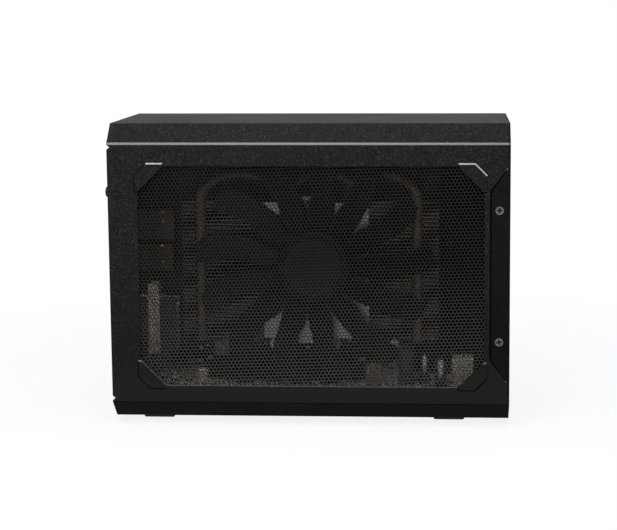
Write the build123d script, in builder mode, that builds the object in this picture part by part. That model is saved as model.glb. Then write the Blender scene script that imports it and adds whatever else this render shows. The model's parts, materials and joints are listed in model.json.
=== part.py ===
"""External graphics card enclosure: steel box, graphics card with cooler, power supply and docking board."""

import os
from math import atan2, cos, degrees, radians, sin, sqrt

from build123d import *

os.makedirs("parts", exist_ok=True)

# Case sizes in millimetres: X runs from rear to front, the photographed side faces -Y, the table is Z 0
length = 212.0
width = 96.0
height = 162.0
foot_height = 3.2
sheet = 1.2
bevel = 10.0
bend_radius = 1.6
slip = 0.4

# Side window and its four raised corner pads, measured from the ends of the case
window_from_rear = 15.8
window_from_front = 13.5
window_from_top = 21.9
window_from_base = 19.0
window_cut = 13.8
pad_margin = 1.7
pad_cut = 6.4
pad_rise = 0.8
pad_slope = 40.0

# Perforated plate behind each window
mesh_sheet = 0.8
mesh_overlap = 2.4
mesh_pitch = 26.0
mesh_bar = 3.6

# Front panel tabs that close the notches of the sleeve
tab_depth = 9.8
tab_from_top = 21.4
tab_from_base = 20.1
tab_slant = 13.8
tab_gap = 0.8
tab_screw_inset = 5.6
tab_screw_spread = 70.0
ear_depth = 7.6
ear_half = 6.0

# Screws
flat_head_radius = 2.3
pan_head_radius = 2.75
pan_head_height = 2.0
head_sides = 12
cross_length = 3.0
cross_width = 0.8
cross_depth = 0.6

# Rear lips of the sleeve and the notches at their ends
lip = 8.0
lip_relief = 4.0
notch_height = 2.6
notch_depth = 1.5
rear_screw_inset = 4.4
rear_screw_rise = 122.8

# Chassis tray
tray_sheet = 1.0
tray_flange = 8.0
tray_frame = 14.0

# Rubber feet
foot_length = 19.0
foot_width = 12.0
foot_from_rear = 21.6
foot_from_front = 32.0
foot_from_side = 22.5
foot_slope = 25.0

# Power supply, between the backplate of the card and the far side plate
supply_from_front = 58.4
supply_clear = 2.4
supply_height = 81.5
supply_wall = 0.8
supply_gap = 4.5
supply_rise = 58.8
shelf_sheet = 1.0
shelf_flange = 8.0
divider_gap = 2.0
cover_slot_count = 11
cover_slot_width = 4.0
cover_slot_height = 26.0
cover_slot_pitch = 11.0
cover_slot_gap = 8.0
supply_board_gap = 2.2
supply_board_sheet = 1.6
supply_board_rear = 6.0
supply_board_front = 5.0
supply_board_margin = 4.0
post_radius = 2.5
post_from_fan = 19.2
post_from_front = 12.0
post_inset = 10.0
transformer_room = 9.1
transformer_rise = 24.0
transformer_height = 30.0
storage_radius = 9.0
storage_room = 11.1
storage_rise = 20.0
storage_step = 22.0
spreader_room = 13.1
spreader_sheet = 2.5
spreader_inset = 13.0

# Small fan of the power supply
small_fan_fit = 1.25
small_fan_depth = 20.0
small_fan_from_top = 4.5
small_corner = 3.0
small_duct_wall = 0.8
small_tip_gap = 1.6
small_hub_share = 0.21
small_hub_inset = 3.0
small_hub_wall = 1.5
small_bearing = 3.0
small_bearing_inset = 7.0
small_pad = 6.0
small_blade_sheet = 0.9
guard_share = 0.113
guard_web = 1.0
small_blades = 7
small_chord = 12.0
small_tilt = 45.0
small_shaft = 1.0
small_strut = 2.0
small_strut_width = 2.4
duct_sides = 24
hub_sides = 16

# Mains inlet
inlet_rise = 17.0
inlet_from_side = 6.75
inlet_height = 19.6
inlet_depth = 22.0
inlet_flange = 1.2
inlet_rim = 1.6
inlet_skin = 1.5
recess_depth = 16.0
recess_cut = 4.0
pin_from_side = 5.0
pin_thickness = 2.0
pin_height = 4.0
pin_length = 13.5
pin_step = 3.0

# Docking board
board_rise = 9.0
board_sheet = 1.6
board_from_side = 8.0
board_rear_gap = 1.0
board_front_gap = 12.0
standoff_radius = 3.0
standoff_from_end = 30.0
standoff_from_side = 8.0
slot_from_rear = 44.0
slot_length = 89.0
slot_width = 7.5
slot_height = 11.2
slot_floor = 2.2
slot_wall = 2.5
card_fit = 0.1
port_width = 14.6
port_height = 16.0
port_depth = 17.6
port_from_side = 1.1
port_step = 16.6
port_opening = 5.2
port_opening_depth = 9.0
port_tongue = 11.2
port_tongue_sheet = 1.8
port_proud = 0.6
port_shell = 0.8
port_fit = 0.4
link_width = 9.0
link_height = 3.4
link_depth = 8.0
link_step = 15.0
link_shell = 0.35
link_tongue = 6.4
link_tongue_sheet = 0.7

# Pieces on the docking board
can_from_front = (41.8, 32.0, 23.2)
can_from_side = (15.0, 15.0, 7.0)
can_radius = (4.6, 2.6, 3.4)
can_height = (25.0, 18.6, 18.6)
board_choke = 9.0
board_choke_height = 6.0
board_choke_step = 15.0
board_choke_offset = 16.0
board_choke_from_side = 14.0
sink_from_rear = 66.0
sink_from_side = 4.0
sink_from_slot = 8.45
sink_length = 32.0
sink_base = 3.0
sink_height = 10.0
sink_fin = 1.2
sink_fins = 7
sink_edge = 1.4
rear_header_from_rear = 45.5
rear_header = (7.0, 6.0, 11.0)
front_header_from_front = 58.3
front_header = (11.0, 7.0, 15.0)
header_from_side = 13.5
board_socket_from_front = 11.4
board_socket_from_side = 18.0
board_socket_length = 11.8
board_socket_width = 9.6
board_socket_height = 17.7
chamber = 3.0
chamber_step = 4.2
chamber_depth = 7.0

# Openings of the rear panel
panel_lap = 2.0
bracket_land = 9.0
vent_step = 5.2
vent_row = 8.0
vent_width = 3.2
vent_height = 6.0

# Graphics card
card_sheet = 1.6
card_from_front = 36.5
card_height = 106.0
card_rise = 27.8
bracket_sheet = 0.9
bracket_width = 38.7
bracket_behind = 1.6
bracket_low = 18.8
bracket_high = 136.0
bracket_screw_inset = 4.0
bracket_slot_side = 11.0
bracket_slot_step = 8.0
bracket_slot_width = 14.0
bracket_slot_height = 4.6
bracket_tab = 8.0
bracket_tab_rise = (66.0, 118.0)
chip_size = 40.0
chip_sheet = 1.2
die_size = 20.0
die_sheet = 0.8
memory_length = 12.0
memory_height = 14.0
memory_spread = 60.0
memory_step = 18.0
card_choke_width = 8.4
card_choke_height = 9.0
card_choke_depth = 6.0
card_choke_step = 12.0
card_choke_from_end = 15.4
low_choke_from_fins = 17.5
low_choke_drop = 10.2
card_can_radius = 3.0
card_can_depth = 7.0
card_can_drop = 7.0
card_can_places = (-24.4, -6.4, 10.0, 42.0)
backplate_gap = 1.0
backplate_sheet = 1.0
backplate_rear = 12.0
backplate_edge = 1.0
backplate_post = 3.0
backplate_post_inset = 7.0
card_socket_drop = 8.4
card_socket_length = 10.0
card_socket_depth = 11.0
card_socket_height = 15.2
card_socket_proud = 1.0
contact_gap = 1.0

# Cooler: base, fins, heat pipes
fan_gap = 4.0
fan_forward = 1.9
fan_lift = 3.45
base_depth = 7.0
base_rear = 27.9
base_length = 57.0
fin_base = 3.6
fin_reach = 12.4
fin_from_bracket = 32.7
fin_overhang = 0.7
fin_above_edge = 13.8
fin_below_top = 18.1
fin_count = 11
fin_sheet = 0.8
pipe_radius = 3.0
pipe_sides = 6
pipe_bend = 13.5
pipe_clear = 0.5
pipe_tail = 3.2
pipe_point = 2.0
inner_legs = (-22.4, -14.9, 16.1)
outer_rear_inset = 10.0
outer_middle = 26.1
outer_front_inset = 12.0

# Cooler fan
mount_sheet = 1.0
fan_depth = 11.0
fan_radius = 63.6
hub_radius = 20.0
hub_wall = 1.6
hub_gap = 0.6
blade_count = 13
blade_turn = 3.6
blade_tilt = 26.0
blade_sheet = 1.2
blade_stations = ((-2.45, 9.5), (-2.65, 10.7), (-2.1, 13.5), (3.5, 11.4))
cup_sides = 32
shaft_radius = 1.5
shaft_play = 0.05
bearing_radius = 4.0
stator_radius = 17.0
stator_sheet = 2.0

# Faces of the case that follow from the sizes; the rear screw heads count in the middle of the length
x_rear = (pan_head_height - length) / 2
x_front = x_rear + length
x_plate = x_front - sheet
y_wall = width / 2
y_in = y_wall - sheet
z_base = foot_height
z_in = z_base + sheet
z_roof = height
x_in = x_rear + 2 * sheet
flat_half = y_in - bevel + sheet * (2 - sqrt(2))
near_side = Plane(origin=(0, -y_wall, 0), x_dir=(1, 0, 0), z_dir=(0, -1, 0))
far_side = Plane(origin=(0, y_wall, 0), x_dir=(-1, 0, 0), z_dir=(0, 1, 0))
sides = ((near_side, 1), (far_side, -1))


def cut_rectangle(low_u, high_u, low_v, high_v, cut):
    """Corner points of a rectangle with its four corners cut off at 45 degrees."""
    return [
        (low_u + cut, low_v),
        (high_u - cut, low_v),
        (high_u, low_v + cut),
        (high_u, high_v - cut),
        (high_u - cut, high_v),
        (low_u + cut, high_v),
        (low_u, high_v - cut),
        (low_u, low_v + cut),
    ]


def case_outline(inset):
    """Section of the case across its length, drawn in by an even distance."""
    cut = bevel - inset * (2 - sqrt(2))
    return cut_rectangle(-y_wall + inset, y_wall - inset, z_base + inset, z_roof - inset, cut)


def seen_from(way, points):
    """Points of a side face in that face's own directions, always counter-clockwise."""
    if way > 0:
        return points
    return [(-u, v) for u, v in reversed(points)]


def block(low, high, mode=Mode.ADD):
    """A box between two opposite corners."""
    middle = tuple((a + b) / 2 for a, b in zip(low, high))
    with Locations(middle):
        Box(high[0] - low[0], high[1] - low[1], high[2] - low[2], mode=mode)


def bar_x(start, end, y, z, radius, mode=Mode.ADD):
    """A round bar along X."""
    with Locations(((start + end) / 2, y, z)):
        Cylinder(radius, end - start, rotation=(0, 90, 0), mode=mode)


def bar_y(start, end, x, z, radius, mode=Mode.ADD):
    """A round bar along Y."""
    with Locations((x, (start + end) / 2, z)):
        Cylinder(radius, end - start, rotation=(90, 0, 0), mode=mode)


# Window, pads, tabs and screw places on the side faces
window_low_x = x_rear + window_from_rear
window_high_x = x_front - window_from_front
window_low_z = z_base + window_from_base
window_high_z = z_roof - window_from_top
window = cut_rectangle(window_low_x, window_high_x, window_low_z, window_high_z, window_cut)
tab_low_z = z_base + tab_from_base
tab_high_z = z_roof - tab_from_top
tab_middle = (tab_low_z + tab_high_z) / 2
tab_x = x_front - tab_depth
tab_screw_x = x_front - tab_screw_inset
tab_screw_levels = (tab_middle - tab_screw_spread / 2, tab_middle + tab_screw_spread / 2)
pads = []
for way_x, corner_x in ((-1, window_low_x), (1, window_high_x)):
    for way_z, corner_z in ((-1, window_low_z), (1, window_high_z)):
        pad = [
            (corner_x - way_x * window_cut, corner_z - way_z * window_cut),
            (corner_x + way_x * pad_margin, corner_z - way_z * window_cut),
            (corner_x + way_x * pad_margin, corner_z + way_z * (pad_margin - pad_cut)),
            (corner_x + way_x * (pad_margin - pad_cut), corner_z + way_z * pad_margin),
            (corner_x - way_x * window_cut, corner_z + way_z * pad_margin),
        ]
        pads.append(pad if way_x * way_z > 0 else pad[::-1])
tab = [
    (tab_x, tab_low_z + tab_slant),
    (x_front, tab_low_z),
    (x_front, tab_high_z),
    (tab_x, tab_high_z - tab_slant),
]
tab_notch = [
    (tab_x - tab_gap, tab_low_z + tab_slant - tab_gap / 2),
    (x_front, tab_low_z - tab_gap),
    (x_front, tab_high_z + tab_gap),
    (tab_x - tab_gap, tab_high_z - tab_slant + tab_gap / 2),
]
rear_screw_z = z_base + rear_screw_rise
rear_screw_y = y_wall - rear_screw_inset
low_screw_z = z_in + tray_flange - 3.6
rear_screws_at = (
    (-rear_screw_y, rear_screw_z),
    (rear_screw_y, rear_screw_z),
    (-flat_half * 0.7, low_screw_z),
    (flat_half * 0.7, low_screw_z),
)
notch_levels = (z_base + bevel + lip_relief / 2, z_roof - bevel - lip_relief / 2)

# Steel sleeve: four walls with slanted edges, lips at the rear, windows with raised corner pads, tab notches
with BuildPart() as case_sleeve:
    with BuildSketch(Plane.YZ.offset(x_rear)) as outside:
        Polygon(*case_outline(0), align=None)
        fillet(outside.vertices(), radius=bend_radius)
    extrude(amount=length - sheet)
    with BuildSketch(Plane.YZ.offset(x_rear)) as inside:
        Polygon(*case_outline(sheet), align=None)
        fillet(inside.vertices(), radius=bend_radius - sheet)
    extrude(amount=length - sheet, mode=Mode.SUBTRACT)
    with BuildSketch(Plane.YZ.offset(x_rear)):
        with Locations((-y_wall + lip / 2, (z_base + z_roof) / 2), (y_wall - lip / 2, (z_base + z_roof) / 2)):
            Rectangle(lip, z_roof - z_base - 2 * bevel - 2 * lip_relief)
        with Locations((0, z_roof - lip / 2), (0, z_base + lip / 2)):
            Rectangle(2 * flat_half - 2 * lip_relief, lip)
    extrude(amount=sheet)
    for face, way in sides:
        for pad in pads:
            with BuildSketch(face):
                Polygon(*seen_from(way, pad), align=None)
            extrude(amount=pad_rise, taper=pad_slope)
        for pad in pads:
            with BuildSketch(face.offset(-sheet)):
                Polygon(*seen_from(way, pad), align=None)
            extrude(amount=pad_rise, taper=pad_slope, mode=Mode.SUBTRACT)
        with BuildSketch(face):
            Polygon(*seen_from(way, window), align=None)
        extrude(amount=2 * sheet, both=True, mode=Mode.SUBTRACT)
        with BuildSketch(face):
            Polygon(*seen_from(way, tab_notch), align=None)
        extrude(amount=2 * sheet, both=True, mode=Mode.SUBTRACT)
        with BuildSketch(face):
            for level in notch_levels:
                notch = [
                    (x_rear, level - notch_height / 2),
                    (x_rear + notch_depth, level),
                    (x_rear, level + notch_height / 2),
                ]
                Polygon(*seen_from(way, notch), align=None)
        extrude(amount=2 * sheet, both=True, mode=Mode.SUBTRACT)
case_sleeve.part.label = "case_sleeve"
export_step(case_sleeve.part, "parts/case_sleeve.step")

# Perforated side plates: the holes stand in staggered rows that rise slightly toward the front
mesh_outline = cut_rectangle(
    window_low_x - mesh_overlap,
    window_high_x + mesh_overlap,
    window_low_z - mesh_overlap,
    window_high_z + mesh_overlap,
    window_cut,
)
mesh_middle_x = (window_low_x + window_high_x) / 2
mesh_middle_z = (window_low_z + window_high_z) / 2
mesh_row = mesh_pitch * sqrt(3) / 2
mesh_rows = int((window_high_z - window_low_z - mesh_pitch) / mesh_row) + 1
mesh_columns = int((window_high_x - window_low_x - mesh_pitch * 1.5) / mesh_pitch) + 1
mesh_spots = []
for row in range(mesh_rows):
    for column in range(mesh_columns):
        u = (column - (mesh_columns - 1) / 2 + (0.25 if row % 2 else -0.25)) * mesh_pitch
        v = (row - (mesh_rows - 1) / 2) * mesh_row
        reach = abs(u) + abs(v) + mesh_pitch * 0.6
        limit = (window_high_x - window_low_x + window_high_z - window_low_z) / 2 - window_cut
        if reach < limit:
            mesh_spots.append((mesh_middle_x + u, mesh_middle_z + v))

with BuildPart() as side_mesh_card:
    with BuildSketch(near_side.offset(-sheet)):
        Polygon(*mesh_outline, align=None)
        with Locations(*mesh_spots):
            RegularPolygon((mesh_pitch - mesh_bar) / sqrt(3), 6, rotation=30, mode=Mode.SUBTRACT)
    extrude(amount=-mesh_sheet)
side_mesh_card.part.label = "side_mesh_card"
export_step(side_mesh_card.part, "parts/side_mesh_card.step")

with BuildPart() as side_mesh_supply:
    with BuildSketch(far_side.offset(-sheet)):
        Polygon(*seen_from(-1, mesh_outline), align=None)
        with Locations(*seen_from(-1, mesh_spots)):
            RegularPolygon((mesh_pitch - mesh_bar) / sqrt(3), 6, rotation=30, mode=Mode.SUBTRACT)
    extrude(amount=-mesh_sheet)
side_mesh_supply.part.label = "side_mesh_supply"
export_step(side_mesh_supply.part, "parts/side_mesh_supply.step")

# Front panel: end plate with a tab folded back on each side
with BuildPart() as front_panel:
    with BuildSketch(Plane.YZ.offset(x_plate)) as plate:
        Polygon(*case_outline(0), align=None)
        fillet(plate.vertices(), radius=bend_radius)
    extrude(amount=sheet)
    for face, way in sides:
        with BuildSketch(face):
            Polygon(*seen_from(way, tab), align=None)
            with Locations(*[(way * tab_screw_x, level) for level in tab_screw_levels]):
                RegularPolygon(flat_head_radius, head_sides, mode=Mode.SUBTRACT)
        extrude(amount=-sheet)
front_panel.part.label = "front_panel"
export_step(front_panel.part, "parts/front_panel.step")

# Flat screw heads in the tabs of the front panel, two on each side, with a cross in each head
with BuildPart() as panel_screws:
    for face, way in sides:
        with BuildSketch(face):
            with Locations(*[(way * tab_screw_x, level) for level in tab_screw_levels]):
                RegularPolygon(flat_head_radius, head_sides)
        extrude(amount=-sheet)
        with BuildSketch(face):
            with Locations(*[(way * tab_screw_x, level) for level in tab_screw_levels]):
                Rectangle(cross_length, cross_width, rotation=30)
                Rectangle(cross_width, cross_length, rotation=30)
        extrude(amount=-cross_depth, mode=Mode.SUBTRACT)
panel_screws.part.label = "panel_screws"
export_step(panel_screws.part, "parts/panel_screws.step")

# Chassis tray: base on the floor of the sleeve, rear flange, front frame and the ears behind the tabs
with BuildPart() as chassis_tray:
    tray_half = flat_half - slip
    block((x_in, -tray_half, z_in), (x_plate, tray_half, z_in + tray_sheet))
    block((x_in, -tray_half, z_in), (x_in + tray_sheet, tray_half, z_in + tray_flange))
    with BuildSketch(Plane.YZ.offset(x_plate - tray_sheet)):
        Polygon(*case_outline(sheet + slip), align=None)
        Polygon(*case_outline(sheet + slip + tray_frame), align=None, mode=Mode.SUBTRACT)
    extrude(amount=tray_sheet)
    for way in (-1, 1):
        for level in tab_screw_levels:
            low_y = min(way * y_in, way * (y_in - tray_sheet))
            block(
                (x_plate - ear_depth, low_y, level - ear_half),
                (x_plate, low_y + tray_sheet, level + ear_half),
            )
chassis_tray.part.label = "chassis_tray"
export_step(chassis_tray.part, "parts/chassis_tray.step")

# Rubber feet under the sleeve
foot_spots = [
    (x, y)
    for x in (x_rear + foot_from_rear, x_front - foot_from_front)
    for y in (-y_wall + foot_from_side, y_wall - foot_from_side)
]
with BuildPart() as feet:
    with BuildSketch(Plane(origin=(0, 0, z_base), x_dir=(1, 0, 0), z_dir=(0, 0, -1))):
        with Locations(*[(x, -y) for x, y in foot_spots]):
            Rectangle(foot_length, foot_width)
    extrude(amount=foot_height, taper=foot_slope)
feet.part.label = "feet"
export_step(feet.part, "parts/feet.step")

# Places of the graphics card and its cooler, counted inward from the near side plate
fan_front = -(y_in - mesh_sheet - fan_gap)
mount_back = fan_front + fan_depth + mount_sheet
fin_front = mount_back
fin_root = fin_front + fin_reach
base_front = fin_root + fin_base
base_back = base_front + base_depth
card_y = base_back + die_sheet + chip_sheet
card_back = card_y + card_sheet
card_middle = (card_y + card_back) / 2
plate_y = card_back + backplate_gap
card_x = x_in + bracket_sheet
card_end = x_plate - card_from_front
card_length = card_end - card_x
card_low = z_base + card_rise
card_top = card_low + card_height
fin_low_x = card_x + fin_from_bracket
fin_high_x = card_end + fin_overhang
fin_length = fin_high_x - fin_low_x
fin_low_z = card_low + fin_above_edge
fin_high_z = card_top - fin_below_top
fin_span = fin_high_z - fin_low_z
fan_x = (x_rear + x_front) / 2 + fan_forward
fan_z = (fin_low_z + fin_high_z) / 2 + fan_lift
slot_x = x_rear + slot_from_rear
slot_end = slot_x + slot_length
bracket_high_y = card_back + bracket_behind
bracket_low_y = bracket_high_y - bracket_width
bracket_low_z = z_base + bracket_low
bracket_high_z = z_base + bracket_high
bracket_screw_y = (bracket_low_y + bracket_high_y) / 2
bracket_screw_levels = (bracket_low_z + bracket_screw_inset, bracket_high_z - bracket_screw_inset)

# Places of the power supply
supply_x = x_in
supply_end = x_plate - supply_from_front
supply_length = supply_end - supply_x
supply_high_y = y_in - mesh_sheet - supply_gap
supply_y = plate_y + backplate_sheet + supply_clear
supply_depth = supply_high_y - supply_y
supply_mid_y = (supply_y + supply_high_y) / 2
supply_z = z_base + supply_rise
supply_top = supply_z + supply_height
inlet_z = supply_z + inlet_rise
inlet_width = supply_depth - 2 * inlet_from_side
recess_width = inlet_width - 2 * inlet_skin
recess_height = inlet_height - 2 * inlet_skin
pin_spread = recess_width - 2 * pin_from_side
small_fan = supply_depth - 2 * small_fan_fit
small_duct = small_fan / 2 - small_duct_wall
small_tip = small_duct - small_tip_gap
small_hub = small_fan * small_hub_share
small_fan_z = supply_top - small_fan_from_top - small_fan / 2

# Places of the docking board
board_z = z_in + tray_sheet + board_rise
board_top = board_z + board_sheet
board_x = x_in + board_rear_gap
board_end = x_plate - board_front_gap
board_half = y_wall - board_from_side
slot_bottom = board_top + slot_floor
standoff_spots = [
    (x, y)
    for x in (board_x + standoff_from_end, board_end - standoff_from_end / 3)
    for y in (-board_half + standoff_from_side, board_half - standoff_from_side)
]
far_port = board_half - port_from_side - port_width / 2
port_spots = (far_port - port_step, far_port)
link_y = port_spots[0] - link_step

# Video sockets: middle height, half width, height over the card, length inside the case
upper_socket = (100.6, 8.4, 6.6, 27.0)
middle_socket = (82.4, 7.2, 6.0, 26.0)
lower_socket = (44.8, 17.0, 10.4, 12.0)
lower_body_length = 8.0
lower_body_half = 16.0
lower_body_drop = 0.6
lower_step_length = 8.0
lower_step_depth = 3.0
lower_step_inset = 1.0
socket_fit = 0.3
socket_wall = 0.9
socket_mouth = 11.0
socket_tongue_set = 1.5
upper_tongue = 1.4
upper_tongue_inset = 2.6
middle_tongue = 1.2
middle_tongue_inset = 2.2
lower_mouth = 7.0
lower_core_set = 0.8
lower_core_inset = 2.9
socket_set = 0.2

# Rear panel behind the lips, with openings for the supply, the card bracket and the ports
with BuildPart() as rear_panel:
    with BuildSketch(Plane.YZ.offset(x_rear + sheet)):
        Polygon(*case_outline(sheet + slip), align=None)
        with Locations((supply_mid_y, (supply_z + supply_top) / 2)):
            Rectangle(supply_depth - 2 * panel_lap, supply_height - 2 * panel_lap, mode=Mode.SUBTRACT)
        with Locations((bracket_screw_y, (bracket_low_z + bracket_high_z) / 2)):
            Rectangle(
                bracket_width - 2 * panel_lap,
                bracket_high_z - bracket_low_z - 2 * bracket_land,
                mode=Mode.SUBTRACT,
            )
        with Locations(*[(y, board_top + port_height / 2) for y in port_spots]):
            Rectangle(port_width + 2 * port_fit, port_height + 2 * port_fit, mode=Mode.SUBTRACT)
        with Locations((link_y, board_top + link_height / 2)):
            Rectangle(link_width + 2 * port_fit, link_height + 2 * port_fit, mode=Mode.SUBTRACT)
        with Locations(((port_spots[0] + port_spots[1]) / 2, (board_top + port_height + supply_z) / 2)):
            with GridLocations(vent_step, vent_row, 6, 2):
                Rectangle(vent_width, vent_height, mode=Mode.SUBTRACT)
    extrude(amount=sheet)
rear_panel.part.label = "rear_panel"
export_step(rear_panel.part, "parts/rear_panel.step")

# Heads of the screws that hold the lips of the sleeve to the rear panel and the tray
with BuildPart() as rear_screws:
    with BuildSketch(Plane.YZ.offset(x_rear - pan_head_height)):
        with Locations(*rear_screws_at):
            RegularPolygon(pan_head_radius, head_sides)
    extrude(amount=pan_head_height)
rear_screws.part.label = "rear_screws"
export_step(rear_screws.part, "parts/rear_screws.step")

# Supply shelf: plate from the rear panel to the front frame with a flange turned down at each end,
# and an upright dividing wall in front of the supply
with BuildPart() as supply_shelf:
    block((x_in, supply_y, supply_z - shelf_sheet), (x_plate - tray_sheet, supply_high_y, supply_z))
    block((x_in, supply_y, supply_z - shelf_flange), (x_in + shelf_sheet, supply_high_y, supply_z))
    block(
        (x_plate - tray_sheet - shelf_sheet, supply_y, supply_z - shelf_flange),
        (x_plate - tray_sheet, supply_high_y, supply_z),
    )
    block(
        (supply_end + slip, supply_y, board_top + divider_gap),
        (x_plate - tray_sheet, supply_y + shelf_sheet, supply_top),
    )
supply_shelf.part.label = "supply_shelf"
export_step(supply_shelf.part, "parts/supply_shelf.step")

# Power supply case: a box open toward the far side, with a fan guard and the inlet cut-out in the rear wall
with BuildPart() as supply_case:
    lid_y = supply_high_y - supply_wall
    block((supply_x, supply_y, supply_z), (supply_end, lid_y, supply_top))
    block(
        (supply_x + supply_wall, supply_y + supply_wall, supply_z + supply_wall),
        (supply_end - supply_wall, lid_y, supply_top - supply_wall),
        mode=Mode.SUBTRACT,
    )
    with BuildSketch(Plane.YZ.offset(supply_x)):
        with Locations((supply_mid_y, inlet_z)):
            Rectangle(inlet_width, inlet_height)
        with Locations((supply_mid_y, small_fan_z)):
            with HexLocations(small_fan * guard_share, 3, 4):
                RegularPolygon(small_fan * guard_share - guard_web, 6, rotation=30)
    extrude(amount=supply_wall, mode=Mode.SUBTRACT)
    with BuildSketch(Plane.XZ.offset(-supply_y - supply_wall - supply_board_gap)):
        for x in (supply_x + supply_wall + small_fan_depth + post_from_fan, supply_end - post_from_front):
            with Locations((x, supply_z + post_inset), (x, supply_top - post_inset)):
                RegularPolygon(post_radius, 6)
    extrude(amount=supply_board_gap)
supply_case.part.label = "supply_case"
export_step(supply_case.part, "parts/supply_case.step")

# Cover of the power supply with upright air slots
with BuildPart() as supply_cover:
    with BuildSketch(Plane.XZ.offset(-supply_high_y)):
        with Locations(((supply_x + supply_end) / 2, (supply_z + supply_top) / 2)):
            Rectangle(supply_length, supply_height)
            with GridLocations(cover_slot_pitch, cover_slot_height + cover_slot_gap, cover_slot_count, 2):
                Rectangle(cover_slot_width, cover_slot_height, mode=Mode.SUBTRACT)
    extrude(amount=supply_wall)
supply_cover.part.label = "supply_cover"
export_step(supply_cover.part, "parts/supply_cover.step")

# Circuit board of the power supply on the posts of the case
supply_board_y = supply_y + supply_wall + supply_board_gap
supply_parts_y = supply_board_y + supply_board_sheet
supply_board_x = supply_x + supply_wall + small_fan_depth + supply_board_rear
supply_board_end = supply_end - supply_board_front
with BuildPart() as supply_board:
    block(
        (supply_board_x, supply_board_y, supply_z + supply_board_margin),
        (supply_board_end, supply_parts_y, supply_top - supply_board_margin),
    )
supply_board.part.label = "supply_board"
export_step(supply_board.part, "parts/supply_board.step")

# Transformer, storage capacitors and heat spreaders on that board, shared out along it
supply_share = (supply_board_end - supply_board_x) / 12
supply_lid_y = supply_high_y - supply_wall
storage_x = supply_board_x + 2.4 * supply_share
storage_end_y = supply_lid_y - storage_room
storage_level = supply_z + storage_rise
with BuildPart() as supply_parts:
    block(
        (supply_board_x + 5.3 * supply_share, supply_parts_y, supply_z + transformer_rise),
        (
            supply_board_x + 8.3 * supply_share,
            supply_lid_y - transformer_room,
            supply_z + transformer_rise + transformer_height,
        ),
    )
    with BuildSketch(Plane.XZ.offset(-storage_end_y)):
        with Locations((storage_x, storage_level), (storage_x, storage_level + storage_step)):
            RegularPolygon(storage_radius, 16)
    extrude(amount=storage_end_y - supply_parts_y)
    for x in (supply_board_x + 4.3 * supply_share, supply_board_x + 9.3 * supply_share):
        block(
            (x, supply_parts_y, supply_z + spreader_inset),
            (x + spreader_sheet, supply_lid_y - spreader_room, supply_top - spreader_inset),
        )
supply_parts.part.label = "supply_parts"
export_step(supply_parts.part, "parts/supply_parts.step")

# Frame of the supply fan: square housing, round duct, three struts and the bearing
small_x = supply_x + supply_wall
small_end = small_x + small_fan_depth
small_hub_end = small_end - small_strut - hub_gap
with BuildPart() as supply_fan_frame:
    with BuildSketch(Plane.YZ.offset(small_x)) as housing:
        with Locations((supply_mid_y, small_fan_z)):
            Rectangle(small_fan, small_fan)
        chamfer(housing.vertices(), length=small_corner)
        with Locations((supply_mid_y, small_fan_z)):
            RegularPolygon(small_duct, duct_sides, mode=Mode.SUBTRACT)
    extrude(amount=small_fan_depth)
    with BuildSketch(Plane.YZ.offset(small_end - small_strut)):
        with Locations((supply_mid_y, small_fan_z)):
            RegularPolygon(small_hub, hub_sides)
            with PolarLocations(small_duct * 0.61, 3):
                Rectangle(small_duct, small_strut_width)
    extrude(amount=small_strut)
    bar_x(small_x + small_bearing_inset, small_end, supply_mid_y, small_fan_z, small_bearing)
    bar_x(
        small_x + small_hub_inset,
        small_end - small_strut / 2,
        supply_mid_y,
        small_fan_z,
        small_shaft + shaft_play,
        mode=Mode.SUBTRACT,
    )
    block(
        (small_x, supply_y + supply_wall, small_fan_z - small_pad),
        (small_end, supply_mid_y - small_duct - small_duct_wall / 2, small_fan_z + small_pad),
    )
supply_fan_frame.part.label = "supply_fan_frame"
export_step(supply_fan_frame.part, "parts/supply_fan_frame.step")

# One blade of the supply fan, a tilted plate standing along +Y from the axis
small_hub_x = small_x + small_hub_inset
small_floor = small_hub_x + small_hub_wall
small_middle = (small_hub_x + small_hub_end) / 2
small_root = small_hub - small_hub_wall / 2
small_slant = radians(small_tilt)
small_blade_plane = Plane(
    origin=(small_middle, supply_mid_y, small_fan_z),
    x_dir=(0, 1, 0),
    z_dir=(cos(small_slant), 0, sin(small_slant)),
)
with BuildPart() as small_blade:
    with BuildSketch(small_blade_plane):
        with Locations(((small_root + small_tip) / 2, 0)):
            Rectangle(small_tip - small_root, small_chord)
    extrude(amount=small_blade_sheet / 2, both=True)

# Rotor of the supply fan: cup hub, shaft and seven blades
small_axis = Axis((0, supply_mid_y, small_fan_z), (1, 0, 0))
with BuildPart() as supply_fan_rotor:
    with BuildSketch(Plane.YZ.offset(small_hub_x)):
        with Locations((supply_mid_y, small_fan_z)):
            RegularPolygon(small_hub, hub_sides)
    extrude(amount=small_hub_end - small_hub_x)
    with BuildSketch(Plane.YZ.offset(small_floor)):
        with Locations((supply_mid_y, small_fan_z)):
            RegularPolygon(small_hub - small_hub_wall, hub_sides)
    extrude(amount=small_hub_end - small_floor, mode=Mode.SUBTRACT)
    bar_x(small_floor, small_end - small_strut, supply_mid_y, small_fan_z, small_shaft)
    for turn in range(small_blades):
        add(small_blade.part.rotate(small_axis, turn * 360 / small_blades))
supply_fan_rotor.part.label = "supply_fan_rotor"
export_step(supply_fan_rotor.part, "parts/supply_fan_rotor.step")

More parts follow.
